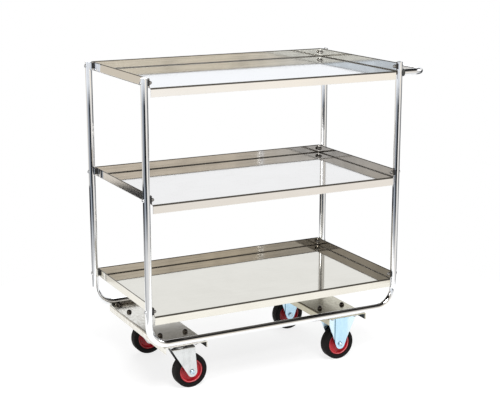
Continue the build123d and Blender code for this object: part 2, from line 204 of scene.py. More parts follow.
def build_streaks() -> bpy.types.NodeTree:
    """Fine parallel marks of rolling and polishing, as a mask.

    Returns:
        The node group.
    """
    inputs = {"Vector": "Vector", "Stretch": "Vector"}
    outputs = {"Streaks": "Float"}
    wiring, given, made = open_tree(Effect.STREAKS.value, "ShaderNodeTree", inputs, outputs)
    stretched = wiring.vector("MULTIPLY", given["Vector"], given["Stretch"])[0]
    marks = wiring.noise(stretched, scale=1.0, detail=4.0, Roughness=0.65)
    wiring.join(wiring.span(marks, low=0.3, high=0.7), made["Streaks"])
    return wiring.tree


def build_smudges() -> bpy.types.NodeTree:
    """Cloudy marks of handling and wiping, as a mask.

    Returns:
        The node group.
    """
    inputs = {"Vector": "Vector", "Scale": "Float"}
    outputs = {"Smudges": "Float"}
    wiring, given, made = open_tree(Effect.SMUDGES.value, "ShaderNodeTree", inputs, outputs)
    cloud = wiring.noise(given["Vector"], given["Scale"], detail=6.0, Distortion=0.6)
    wiring.join(wiring.span(cloud, low=0.42, high=0.72), made["Smudges"])
    return wiring.tree


def build_waves() -> bpy.types.NodeTree:
    """The long unevenness of thin sheet and drawn tube, as a height.

    Returns:
        The node group.
    """
    inputs = {"Vector": "Vector", "Scale": "Float"}
    wiring, given, made = open_tree(Effect.WAVES.value, "ShaderNodeTree", inputs, {"Height": "Float"})
    height = wiring.noise(given["Vector"], given["Scale"], detail=1.0, Roughness=0.35)
    wiring.join(height, made["Height"])
    return wiring.tree


def build_wear() -> bpy.types.NodeTree:
    """Rounded edges as a normal, and worn edges as a mask.

    Returns:
        The node group.
    """
    inputs = {"Vector": "Vector", "Radius": "Float", "Breakup": "Float"}
    outputs = {"Wear": "Float", "Normal": "Vector"}
    wiring, given, made = open_tree(Effect.WEAR.value, "ShaderNodeTree", inputs, outputs)
    rounded = wiring.add("ShaderNodeBevel", {"Radius": given["Radius"]}, samples=4).outputs["Normal"]
    surface = wiring.add("ShaderNodeNewGeometry").outputs["Normal"]
    turned = wiring.vector("DOT_PRODUCT", rounded, surface)["Value"]
    patches = wiring.noise(given["Vector"], given["Breakup"], detail=3.0)
    broken = wiring.span(patches, low=0.35, high=0.62)
    worn = wiring.span(turned, low=0.995, high=0.9)
    wiring.join(wiring.calc("MULTIPLY", worn, broken), made["Wear"])
    wiring.join(rounded, made["Normal"])
    return wiring.tree


EFFECT_BUILDERS = {
    Effect.STREAKS: build_streaks,
    Effect.SMUDGES: build_smudges,
    Effect.WAVES: build_waves,
    Effect.WEAR: build_wear,
}


def effect_tree(effect: Effect) -> bpy.types.NodeTree:
    """The node group of an effect, built once."""
    return bpy.data.node_groups.get(effect.value) or EFFECT_BUILDERS[effect]()


@dataclass
class Surface(Wiring):
    """The tree of a material that is being made, with its shader and its coordinates."""

    shader: bpy.types.NodeInputs
    place: Socket
    normal: Socket

    def effect(self, effect: Effect, **inputs: Value | Place) -> bpy.types.NodeOutputs:
        """Places a shared effect, with its inputs by name, and gives its outputs."""
        values = {"Vector": self.place, **inputs}
        return self.add("ShaderNodeGroup", values, node_tree=effect_tree(effect)).outputs

    def outward(self, middle: Place) -> Socket:
        """How far an upright face looks away from a piece's middle, along x and y.

        Args:
            middle: the piece's middle.

        Returns:
            1 for a face that looks away, -1 for one that looks to the middle.
        """
        offset = self.vector("SUBTRACT", self.place, middle)[0]
        side = self.vector("SIGN", offset, (0.0, 0.0, 0.0))[0]
        level = self.vector("MULTIPLY", side, (1.0, 1.0, 0.0))[0]
        return self.vector("DOT_PRODUCT", level, self.normal)["Value"]


# Finishes


# Part of a face's normal along a direction, where a mask starts and where it is full.
NOT_UPRIGHT: Fade = (0.1, 0.25)
NOT_FLAT: Fade = (0.97, 0.9)
AGAINST: Fade = (-0.4, -0.8)
RIM_INSIDE: Fade = (-0.35, -0.75)


@dataclass(frozen=True)
class Finish:
    """A procedural material, which carries the name of one slot."""

    name: str
    slot: str

    def build(self) -> bpy.types.Material:
        """Makes the material.

        Returns:
            The material, with the finish joined to its shader.
        """
        material = bpy.data.materials.new(self.name)
        material.use_nodes = True
        tree = material.node_tree
        coordinates = Wiring(tree).add("ShaderNodeTexCoord").outputs
        inputs = tree.nodes["Principled BSDF"].inputs
        self.wire(Surface(tree, inputs, coordinates["Object"], coordinates["Normal"]))
        return material

    def wire(self, surface: Surface) -> None:
        """Joins the finish to the shader."""
        raise NotImplementedError


@dataclass(frozen=True)
class MetalFinish(Finish):
    """A bare or plated metal with its working marks, haze and rounded edges."""

    tint: Colour
    shade: Colour
    roughness: float
    swing: float = 0.12
    stretch: Place = (200.0, 200.0, 200.0)
    streak_depth: float = 0.000005
    wave_scale: float = 6.0
    wave_depth: float = 0.0001
    smudge_scale: float = 30.0
    streak_share: float = 0.6
    smudge_share: float = 0.4
    usual_tone: float = 0.4
    edge_radius: float = 0.0006
    edge_tint: Colour = (0.9, 0.9, 0.9)
    edge_share: float = 0.3
    edge_breakup: float = 120.0

    def colour(self, surface: Surface, tone: Socket) -> Socket:
        """The metal's colour before edge wear, from the mask of its darker marks."""
        return surface.mix(tone, self.tint, self.shade)

    def dulled(self, surface: Surface) -> Value:
        """Roughness that some places have on top of the rest."""
        return 0.0

    def wire(self, surface: Surface) -> None:
        """Joins the finish to the shader.

        Args:
            surface: the material that is being made.
        """
        streaks = surface.effect(Effect.STREAKS, Stretch=self.stretch)["Streaks"]
        smudges = surface.effect(Effect.SMUDGES, Scale=self.smudge_scale)["Smudges"]
        waves = surface.effect(Effect.WAVES, Scale=self.wave_scale)["Height"]
        wear = surface.effect(Effect.WEAR, Radius=self.edge_radius, Breakup=self.edge_breakup)
        marks = surface.calc("MULTIPLY", streaks, self.streak_share)
        tone = surface.calc("ADD", marks, surface.calc("MULTIPLY", smudges, self.smudge_share))
        rubbed = surface.calc("MULTIPLY", wear["Wear"], self.edge_share)
        colour = surface.mix(rubbed, self.colour(surface, tone), self.edge_tint)
        surface.join(colour, surface.shader["Base Color"])
        rough = surface.calc("MULTIPLY", surface.calc("SUBTRACT", tone, self.usual_tone), self.swing)
        dulled = surface.calc("ADD", self.dulled(surface), self.roughness)
        surface.join(surface.calc("ADD", rough, dulled), surface.shader["Roughness"])
        normal = surface.bump(waves, self.wave_depth, wear["Normal"])
        surface.join(surface.bump(streaks, self.streak_depth, normal), surface.shader["Normal"])
        surface.shader["Metallic"].default_value = 1.0


@dataclass(frozen=True)
class SheetFinish(MetalFinish):
    """Bright folded sheet: clear floor and outer faces, inner rims in a painted reflection tint, folds
    rougher and in painted shade, and painted shade along the top edge and on the underside.
    """

    # painted reflection: the tint of the rims' inner faces
    rim: Colour = (0.8, 0.76, 0.68)
    rim_shade: float = 0.55
    # painted shade: the dark colour of the faces that look down
    under: Colour = (0.115, 0.105, 0.092)
    # painted shade: a dark line along the top edge of the sheet
    hem_shade: Colour = (0.09, 0.08, 0.065)
    hem_depth: Fade = (0.0028, 0.00196)
    # painted shade in the folds, the rims' feet and along the front edge
    fold_shade: Colour = (0.11, 0.10, 0.085)
    fold_roughness: float = 0.7
    rim_height: float = 0.025
    foot_share: float = 0.7
    foot_height: Fade = (0.00286, 0.00247)
    edge_drop: Fade = (0.0045, 0.003825)
    edge_depth: Fade = (0.00338, 0.0026)
    top: float = 0.0
    front: float = 0.0
    middle: Place = (0.0, 0.0, 0.0)

    def inner(self, surface: Surface) -> Socket:
        """Mask of the rims' inner faces, which look to the tray's middle."""
        return surface.span(surface.outward(self.middle), *RIM_INSIDE)

    def bent(self, surface: Surface) -> Socket:
        """Mask of the folds, which look neither up nor aside, the rims' feet and the front edge, which get
        painted shade and more roughness.

        Args:
            surface: the material that is being made.

        Returns:
            The mask.
        """
        facing = surface.parts(surface.normal)["Z"]
        folds = surface.calc("MULTIPLY", surface.span(facing, *NOT_UPRIGHT), surface.span(facing, *NOT_FLAT))
        place = surface.parts(surface.place)
        floor = self.top - self.rim_height
        high = surface.span(place["Z"], *(floor - drop for drop in self.edge_drop))
        ahead = surface.span(place["Y"], *(self.front + depth for depth in self.edge_depth))
        feet = [floor + height for height in self.foot_height]
        near = surface.span(place["Z"], *feet, to_high=self.foot_share)
        foot = surface.calc("MULTIPLY", near, self.inner(surface))
        front_edge = surface.calc("MULTIPLY", high, ahead)
        return surface.calc("MAXIMUM", surface.calc("MAXIMUM", folds, foot), front_edge)

    def dulled(self, surface: Surface) -> Value:
        """Roughness added in the folds."""
        return surface.calc("MULTIPLY", self.bent(surface), self.fold_roughness)

    def colour(self, surface: Surface, tone: Socket) -> Socket:
        """The sheet's colour, by the way that a face looks, with painted reflection on the inner rims and
        painted shade in the folds, along the top edge and underneath.

        Args:
            surface: the material that is being made.
            tone: mask of the darker marks.

        Returns:
            The colour.
        """
        clear = super().colour(surface, tone)
        marked = tuple(part * self.rim_shade for part in self.rim)
        # Painted reflection on the rims' inner faces.
        rim = surface.mix(tone, self.rim, marked)
        inner = self.inner(surface)
        facing = surface.parts(surface.normal)["Z"]
        height = surface.parts(surface.place)["Z"]
        # Painted shade: a dark line along the top edge.
        edge = surface.span(height, *(self.top - depth for depth in self.hem_depth))
        # Painted shade in the folds, the rims' feet and the front edge.
        flat = surface.mix(self.bent(surface), surface.mix(inner, clear, rim), self.fold_shade)
        sheet = surface.mix(edge, flat, self.hem_shade)
        # Painted shade on the faces that look down.
        return surface.mix(surface.span(facing, *AGAINST), sheet, self.under)


@dataclass(frozen=True)
class ChannelFinish(MetalFinish):
    """Folded sheet with painted shade on its inside and its underside."""

    # painted shade of the faces that look down or inwards
    inside: Colour = (0.08, 0.07, 0.06)
    middle: Place = (0.0, 0.0, 0.0)

    def colour(self, surface: Surface, tone: Socket) -> Socket:
        """The sheet's colour, with painted shade where a face looks down or to the channel's middle.

        Args:
            surface: the material that is being made.
            tone: mask of the darker marks.

        Returns:
            The colour.
        """
        # Painted shade on the faces that look down or to the channel's middle.
        under = surface.span(surface.parts(surface.normal)["Z"], *AGAINST)
        inward = surface.span(surface.outward(self.middle), *AGAINST)
        shaded_faces = surface.calc("MAXIMUM", under, inward)
        return surface.mix(shaded_faces, super().colour(surface, tone), self.inside)


@dataclass(frozen=True)
class PressedFinish(MetalFinish):
    """Plated pressing with a painted highlight on its turned edges, and painted shade in the left crease and
    on the plate on top.
    """

    # painted highlight on the turned edges
    edge_highlight: Colour = (0.70, 0.86, 0.96)
    # painted shade in the left crease and along the top
    crease_and_top_shade: Colour = (0.03, 0.11, 0.15)
    panel: float = 0.02
    edge: Fade = (0.02, 0.028)
    crease: Fade = (0.0022, 0.00088)
    plate: Fade = (0.0036, 0.003)
    top: float = 0.0
    middle: Place = (0.0, 0.0, 0.0)

    def colour(self, surface: Surface, tone: Socket) -> Socket:
        """The pressing's colour, by the distance from its middle: a painted highlight on the turned edges,
        and painted shade at the left crease and along the top.

        Args:
            surface: the material that is being made.
            tone: mask of the darker marks.

        Returns:
            The colour.
        """
        place = surface.parts(surface.place)
        aside = surface.calc("SUBTRACT", place["X"], self.middle[0])
        turned = surface.span(surface.calc("ABSOLUTE", aside), *self.edge)
        gap = surface.calc("ABSOLUTE", surface.calc("ADD", aside, self.panel))
        # Painted shade: a dark line at the left crease.
        line = surface.span(gap, *self.crease)
        # Painted shade along the top plate.
        plate = surface.span(place["Z"], *(self.top - depth for depth in self.plate))
        # Painted highlight on the turned edges.
        plated = surface.mix(turned, super().colour(surface, tone), self.edge_highlight)
        return surface.mix(surface.calc("MAXIMUM", line, plate), plated, self.crease_and_top_shade)


@dataclass(frozen=True)
class RubberFinish(Finish):
    """Black tyre rubber, greyer and drier on the tread."""

    wall: Colour
    tread: Colour
    roughness: float
    dust_scale: float = 45.0
    least_dust: float = 0.6
    dust_roughness: float = 0.25
    grain_scale: float = 1400.0
    grain_depth: float = 0.00004
    sheen: float = 0.11
    attribute: str = "tread"

    def wire(self, surface: Surface) -> None:
        """Joins the finish to the shader.

        Args:
            surface: the material that is being made.
        """
        tread = surface.add("ShaderNodeAttribute", attribute_name=self.attribute).outputs["Fac"]
        smudges = surface.effect(Effect.SMUDGES, Scale=self.dust_scale)["Smudges"]
        dusty = surface.calc("MULTIPLY", tread, surface.span(smudges, 0.0, 1.0, to_low=self.least_dust))
        surface.join(surface.mix(dusty, self.wall, self.tread), surface.shader["Base Color"])
        haze = surface.calc("MULTIPLY", dusty, self.dust_roughness)
        surface.join(surface.calc("ADD", haze, self.roughness), surface.shader["Roughness"])
        grain = surface.noise(surface.place, self.grain_scale)
        surface.join(surface.bump(grain, self.grain_depth), surface.shader["Normal"])
        surface.shader["Specular IOR Level"].default_value = self.sheen


@dataclass(frozen=True)
class EnamelFinish(Finish):
    """Glossy enamel with rubbed edges, a painted highlight ring where the mesh marks it, and a little dust.
    """

    tint: Colour
    deep: Colour
    # rubbed: the colour of the worn edges and of the painted highlight ring
    rubbed: Colour
    roughness: float
    smudge_scale: float = 60.0
    smudge_share: float = 0.6
    smudge_roughness: float = 0.18
    edge_radius: float = 0.0007
    edge_share: float = 0.6
    edge_breakup: float = 300.0
    # breakup of the painted highlight ring
    ring_scale: float = 160.0
    ring_noise: Fade = (0.3, 0.6)
    ring_share: Fade = (0.35, 0.9)
    grain_scale: float = 420.0
    grain_depth: float = 0.00002
    coat: float = 0.15
    coat_roughness: float = 0.12
    # the mesh attribute that marks the painted highlight ring
    attribute: str = "rubbed"

    def wire(self, surface: Surface) -> None:
        """Joins the finish to the shader.

        Args:
            surface: the material that is being made.
        """
        smudges = surface.effect(Effect.SMUDGES, Scale=self.smudge_scale)["Smudges"]
        wear = surface.effect(Effect.WEAR, Radius=self.edge_radius, Breakup=self.edge_breakup)
        colour = surface.mix(surface.calc("MULTIPLY", smudges, self.smudge_share), self.tint, self.deep)
        # The marked ring is a painted highlight, broken up by noise.
        highlight_ring = surface.add("ShaderNodeAttribute", attribute_name=self.attribute).outputs["Fac"]
        patches = surface.noise(surface.place, self.ring_scale)
        broken = surface.span(patches, *self.ring_noise, *self.ring_share)
        worn = surface.calc("MULTIPLY", wear["Wear"], self.edge_share)
        # Real edge wear and the painted highlight ring both take the rubbed colour.
        rubbed = surface.calc("MAXIMUM", worn, surface.calc("MULTIPLY", highlight_ring, broken))
        surface.join(surface.mix(rubbed, colour, self.rubbed), surface.shader["Base Color"])
        haze = surface.calc("MULTIPLY", smudges, self.smudge_roughness)
        surface.join(surface.calc("ADD", haze, self.roughness), surface.shader["Roughness"])
        grain = surface.noise(surface.place, self.grain_scale, detail=1.0)
        surface.join(surface.bump(grain, self.grain_depth, wear["Normal"]), surface.shader["Normal"])
        surface.shader["Coat Weight"].default_value = self.coat
        surface.shader["Coat Roughness"].default_value = self.coat_roughness


@dataclass(frozen=True)
class DarkFinish(Finish):
    """Moulded dark plastic: a skin with grain and paler edges."""

    tint: Colour
    edge: Colour
    roughness: float
    grain_scale: float
    grain_depth: float
    smudge_scale: float = 80.0
    smudge_roughness: float = 0.15
    edge_radius: float = 0.0005
    edge_share: float = 0.6
    edge_breakup: float = 260.0

    def wire(self, surface: Surface) -> None:
        """Joins the finish to the shader.

        Args:
            surface: the material that is being made.
        """
        smudges = surface.effect(Effect.SMUDGES, Scale=self.smudge_scale)["Smudges"]
        wear = surface.effect(Effect.WEAR, Radius=self.edge_radius, Breakup=self.edge_breakup)
        rubbed = surface.calc("MULTIPLY", wear["Wear"], self.edge_share)
        surface.join(surface.mix(rubbed, self.tint, self.edge), surface.shader["Base Color"])
        haze = surface.calc("MULTIPLY", smudges, self.smudge_roughness)
        surface.join(surface.calc("ADD", haze, self.roughness), surface.shader["Roughness"])
        grain = surface.noise(surface.place, self.grain_scale)
        surface.join(surface.bump(grain, self.grain_depth, wear["Normal"]), surface.shader["Normal"])


BRIGHT_TUBE = MetalFinish(
    "bright_tube", "tube_bright", (0.93, 0.94, 0.95), (0.84, 0.85, 0.87), 0.035, swing=0.05,
    stretch=(60.0, 60.0, 60.0), streak_depth=0.000002, wave_scale=14.0, wave_depth=0.00003,
    smudge_scale=16.0,
)
TRAY_SHEET = SheetFinish(
    "tray_sheet", "tray_steel", (0.93, 0.935, 0.945), (0.86, 0.865, 0.87), 0.075, swing=0.07,
    stretch=(6.0, 520.0, 520.0), streak_depth=0.000003, wave_depth=0.0003, smudge_scale=9.0,
    edge_radius=0.0014, edge_share=0.1,
)
CHANNEL_SHEET = ChannelFinish(
    "channel_sheet", "channel_steel", (0.86, 0.85, 0.80), (0.64, 0.60, 0.52), 0.19, swing=0.16,
    stretch=(420.0, 40.0, 420.0), smudge_scale=70.0, edge_radius=0.0012,
)
# Painted shade: a darker, warmer copy of the channel sheet, for the right channel.
SHADED_CHANNEL_SHEET = replace(CHANNEL_SHEET, tint=(0.60, 0.57, 0.45), shade=(0.44, 0.40, 0.29))
WELD_METAL = MetalFinish(
    "weld_metal", "weld_steel", (0.60, 0.56, 0.50), (0.36, 0.32, 0.27), 0.34, swing=0.2,
    stretch=(160.0, 160.0, 160.0), streak_depth=0.00002, smudge_scale=70.0,
)
PLAIN_STEEL = MetalFinish(
    "plain_steel", "fastener_steel", (0.78, 0.79, 0.80), (0.62, 0.63, 0.65), 0.2,
    smudge_scale=60.0, edge_radius=0.0003,
)
# Painted shade: a darker, rougher copy of the plain steel, for the dome nuts at the tray corners.
NUT_STEEL = replace(
    PLAIN_STEEL, name="nut_steel", tint=(0.36, 0.35, 0.33), shade=(0.22, 0.21, 0.20), roughness=0.42
)
BLUE_ZINC = PressedFinish(
    "blue_zinc", "fork_zinc", (0.57, 0.80, 0.95), (0.46, 0.69, 0.84), 0.26,
    stretch=(90.0, 90.0, 26.0), wave_scale=30.0, wave_depth=0.00008, smudge_scale=34.0, edge_radius=0.0008,
)
PALE_ZINC = MetalFinish(
    "pale_zinc", "fork_zinc", (0.73, 0.745, 0.745), (0.58, 0.60, 0.60), BLUE_ZINC.roughness,
    stretch=BLUE_ZINC.stretch, smudge_scale=BLUE_ZINC.smudge_scale, edge_radius=BLUE_ZINC.edge_radius,
)
# Painted shade: a dark copy of the pale zinc, for the swivel plate under the tube.
SHADED_ZINC = replace(PALE_ZINC, name="dull_zinc", tint=(0.16, 0.15, 0.14), shade=(0.07, 0.065, 0.06))
AXLE_ZINC = MetalFinish(
    "axle_zinc", "axle_zinc", (0.62, 0.77, 0.87), (0.46, 0.58, 0.67), 0.2,
    smudge_scale=80.0, edge_radius=0.0004,
)
BALL_STEEL = MetalFinish(
    "ball_steel", "ball_steel", (0.80, 0.80, 0.81), (0.70, 0.70, 0.71), 0.08, swing=0.05
)
BLACK_MOULDING = DarkFinish(
    "black_moulding", "black_plastic", (0.014, 0.014, 0.015), (0.05, 0.05, 0.05), 0.42, 900.0, 0.00004
)
GREY_MOULDING = replace(
    BLACK_MOULDING, name="grey_moulding", tint=(0.045, 0.047, 0.043), edge=(0.11, 0.11, 0.10)
)
BLACK_BOLT = MetalFinish(
    "black_bolt", "dark_bolt", (0.12, 0.105, 0.09), (0.07, 0.06, 0.05), 0.12, swing=0.1,
    stretch=(500.0, 500.0, 500.0), smudge_scale=120.0, edge_radius=0.0004, edge_tint=(0.3, 0.28, 0.26),
)
# The rubbed colour serves the worn edges and the painted highlight ring.
RED_ENAMEL = EnamelFinish(
    "red_enamel", "hub_red", (0.68, 0.008, 0.026), (0.46, 0.004, 0.016), (0.85, 0.40, 0.40), 0.3
)
TYRE_RUBBER = RubberFinish(
    "tyre_rubber", "tyre_black", (0.010, 0.0086, 0.0084), (0.024, 0.021, 0.0205), 0.5
)


@dataclass
class FinishShelf:
    """Makes each finish once and hands it out."""

    made: dict[str, bpy.types.Material] = field(default_factory=dict)

    def get(self, finish: Finish) -> bpy.types.Material:
        """The material of a finish.

        Args:
            finish: the finish.

        Returns:
            Its material, made on first use.
        """
        if finish.name not in self.made:
            self.made[finish.name] = finish.build()
        return self.made[finish.name]

    def dress(self, finish: Finish, *nodes: str) -> None:
        """Gives CAD nodes a finish.

        Args:
            finish: the finish.
            nodes: names of the nodes.
        """
        for name in nodes:
            for material_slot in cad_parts[name].material_slots:
                material_slot.material = self.get(finish)
            LOG.info("dressed %s in %s", name, finish.name)


SHELF = FinishShelf()


# Shapes


SHARP_ANGLE = math.radians(34)


def middle_of(node: str) -> Vector:
    """The middle of a CAD node's box."""
    low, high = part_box(node)
    return (low + high) / 2


def circle(radius: float, height: float, steps: int) -> Ring:
    """A ring of points about the z axis."""
    turns = [2 * math.pi * k / steps for k in range(steps)]
    return [(radius * math.cos(turn), radius * math.sin(turn), height) for turn in turns]


def turned(profile: Profile, steps: int) -> list[Ring]:
    """A ring about the z axis for each radius and height of a profile."""
    return [circle(radius, height, steps) for radius, height in profile]


def hexagon(flats: float, height: float, steps: int, drop: float = 0.0) -> Ring:
    """A six-sided ring about the z axis, with two flats facing y.

    Args:
        flats: distance across the flats.
        height: height of the middle of each flat.
        steps: number of points, a multiple of six.
        drop: how far the corners lie below the flats, for a turned chamfer.

    Returns:
        The points.
    """
    side = math.pi / 3
    inner, outer = flats / 2, flats / math.sqrt(3)
    ring = []
    for k in range(steps):
        turn = 2 * math.pi * k / steps
        radius = inner / math.cos(turn % side - side / 2)
        lower = drop * (radius - inner) / (outer - inner)
        ring.append((radius * math.cos(turn), radius * math.sin(turn), height - lower))
    return ring


def arc(centre: tuple[float, float], radius: float, start: float, end: float, steps: int) -> Profile:
    """Points of a profile along an arc, in degrees."""
    turns = [math.radians(start + (end - start) * k / steps) for k in range(steps + 1)]
    return [(centre[0] + radius * math.cos(turn), centre[1] + radius * math.sin(turn)) for turn in turns]


def stack(name: str, rings: list[Ring], loop: bool = False) -> bpy.types.Mesh:
    """A mesh through rings of equal point counts.

    Args:
        name: name of the mesh.
        rings: rings from the lower end to the upper along the outside, counter-clockwise seen from above.
        loop: joins the last ring to the first, as in a tyre; otherwise both ends are closed by a face.

    Returns:
        The mesh, smooth apart from its sharp edges.
    """
    steps = len(rings[0])
    pairs = [(k, k + 1) for k in range(len(rings) - 1)]
    if loop:
        pairs.append((len(rings) - 1, 0))
    faces = []
    for low, high in pairs:
        for k in range(steps):
            after = (k + 1) % steps
            faces.append((low * steps + k, low * steps + after, high * steps + after, high * steps + k))
    if not loop:
        last = (len(rings) - 1) * steps
        faces.append(tuple(reversed(range(steps))))
        faces.append(tuple(last + k for k in range(steps)))
    mesh = bpy.data.meshes.new(name)
    mesh.from_pydata([point for ring in rings for point in ring], [], faces)
    mesh.shade_smooth()
    mesh.set_sharp_from_angle(angle=SHARP_ANGLE)
    return mesh


def lathe(name: str, profile: Profile, steps: int, loop: bool = False) -> bpy.types.Mesh:
    """A turned mesh about the z axis, which is a loop if the profile's end joins its start."""
    return stack(name, turned(profile, steps), loop)


def add_piece(mesh: bpy.types.Mesh, finish: Finish, body: str, replaced: str) -> None:
    """Puts a mesh into the scene as a piece of the same name.

    Args:
        mesh: the mesh, in place.
        finish: its finish.
        body: CAD body that carries it.
        replaced: CAD node that it stands for.
    """
    mesh.materials.clear()
    mesh.materials.append(SHELF.get(finish))
    piece = bpy.data.objects.new(mesh.name, mesh)
    bpy.context.scene.collection.objects.link(piece)
    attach(piece, body)
    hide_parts(replaced)
    LOG.info("built %s on %s, %d faces", piece.name, body, len(mesh.polygons))


@dataclass
class RoundBolt:
    """A bolt with a round head that stands on z = 0, its shank below."""

    head_radius: float
    wall: float
    shank_radius: float
    shank_length: float
    edge: float = 0.0006
    pitch: float = 0.00125
    threads: int = 5
    thread_lead: float = 0.4
    root_share: float = 0.84
    pole_share: float = 0.03
    dome_steps: int = 7
    steps: int = 24

    def mesh(self, name: str) -> bpy.types.Mesh:
        """Builds the bolt from its thread end to the top of the head.

        Args:
            name: name of the mesh.

        Returns:
            The mesh.
        """
        crest, root = self.shank_radius, self.root_share * self.shank_radius
        profile: Profile = [(root, -self.shank_length)]
        for turn in range(self.threads):
            base = (turn + self.thread_lead) * self.pitch - self.shank_length
            profile += [(crest, base), (root, base + self.pitch / 2)]
        profile.append((crest, (self.threads + self.thread_lead) * self.pitch - self.shank_length))
        profile += [(crest, 0.0), (self.head_radius - self.edge, 0.0), (self.head_radius, self.edge)]
        dome = arc((0.0, self.wall), self.head_radius, 0, 90, self.dome_steps)
        pole = (self.pole_share * self.head_radius, dome[-1][1])
        return lathe(name, profile + dome[:-1] + [pole], self.steps)


@dataclass
class SocketScrew:
    """A low round-headed screw along z from the axis of a post, with a hexagon socket."""

    radius: float
    inner_end: float
    head_radius: float
    head_base: float
    head_rim: float
    head_height: float
    end_share: float = 0.8
    end_bevel: float = 0.0006
    socket_flats: float = 0.004
    socket_depth: float = 0.0017
    mouth_room: float = 0.0003
    mouth_bevel: float = 0.0002
    dome_steps: int = 4
    steps: int = 24

    def mesh(self, name: str) -> bpy.types.Mesh:
        """Builds the screw from its inner end to the bottom of the socket.

        Args:
            name: name of the mesh.

        Returns:
            The mesh.
        """
        ball = (self.head_radius**2 + self.head_height**2) / (2 * self.head_height)
        centre = self.head_rim + self.head_height - ball
        mouth = self.socket_flats / math.sqrt(3) + self.mouth_room
        profile: Profile = [
            (self.end_share * self.radius, -self.inner_end),
            (self.radius, self.end_bevel - self.inner_end),
            (self.radius, self.head_base),
            (self.head_radius, self.head_base),
        ]
        for k in range(self.dome_steps + 1):
            reach = self.head_radius + (mouth - self.head_radius) * k / self.dome_steps
            profile.append((reach, centre + math.sqrt(ball**2 - reach**2)))
        rings = turned(profile, self.steps)
        top = profile[-1][1]
        for depth in (self.mouth_bevel, self.socket_depth):
            rings.append(hexagon(self.socket_flats, top - depth, self.steps))
        return stack(name, rings)


@dataclass
class HexNut:
    """A hexagon nut on z = 0 with turned chamfers, open or with a dome."""

    flats: float
    height: float
    bore: float
    dome: float = 0.0
    edge: float = 0.0003
    corner_drop: float = 0.09
    face_share: float = 0.47
    countersink: float = 0.0005
    dome_share: float = 0.94
    dome_end: float = 89.0
    dome_steps: int = 7
    steps: int = 24

    def mesh(self, name: str) -> bpy.types.Mesh:
        """Builds the nut from its bearing face up.

        Args:
            name: name of the mesh.

        Returns:
            The mesh.
        """
        face = self.face_share * self.flats
        high = hexagon(self.flats, self.height - self.edge, self.steps, self.corner_drop * self.flats)
        low = [(x, y, self.height - z) for x, y, z in high]
        rings = [circle(self.bore, 0.0, self.steps), circle(face, 0.0, self.steps), low, high]
        rings.append(circle(face, self.height, self.steps))
        if not self.dome:
            rings.append(circle(self.bore + self.countersink, self.height, self.steps))
            rings.append(circle(self.bore, self.height - self.countersink, self.steps))
            return stack(name, rings, loop=True)
        ball = self.dome_share * face
        for reach, rise in arc((0.0, 0.0), 1.0, 0.0, self.dome_end, self.dome_steps):
            rings.append(circle(ball * reach, self.height + self.dome * rise, self.steps))
        return stack(name, rings)


@dataclass
class AxleBolt:
    """A hexagon-headed axle from z = 0 up, its head below."""

    flats: float
    head_height: float
    radius: float
    length: float
    face_share: float = 0.46
    edge: float = 0.0003
    corner_drop: float = 0.1
    dish: Profile = field(default_factory=lambda: [(0.18, 0.0006), (0.30, 0.0005), (0.36, 0.0)])
    washer: float = 0.0004
    pitch: float = 0.00125
    threads: int = 6
    root_share: float = 0.86
    end_share: float = 0.8
    steps: int = 48

    def mesh(self, name: str) -> bpy.types.Mesh:
        """Builds the axle from the head's dished face to the thread end.

        Args:
            name: name of the mesh.

        Returns:
            The mesh.
        """
        face = self.face_share * self.flats
        head: Profile = [(share * self.flats, depth - self.head_height) for share, depth in self.dish]
        head.append((face, -self.head_height))
        rings = turned(head, self.steps)
        outer = hexagon(self.flats, self.head_height - self.edge, self.steps, self.corner_drop * self.flats)
        rings.append([(x, y, -z) for x, y, z in outer])
        rings.append(hexagon(self.flats, -self.washer, self.steps))
        start = self.length - (self.threads + 1) * self.pitch
        shank: Profile = [(face, -self.washer), (face, 0.0), (self.radius, 0.0), (self.radius, start)]
        for turn in range(self.threads):
            shank.append((self.root_share * self.radius, start + (turn + 0.5) * self.pitch))
            shank.append((self.radius, start + (turn + 1) * self.pitch))
        shank.append((self.end_share * self.radius, self.length))
        rings += turned(shank, self.steps)
        return stack(name, rings)


# Repeating patterns


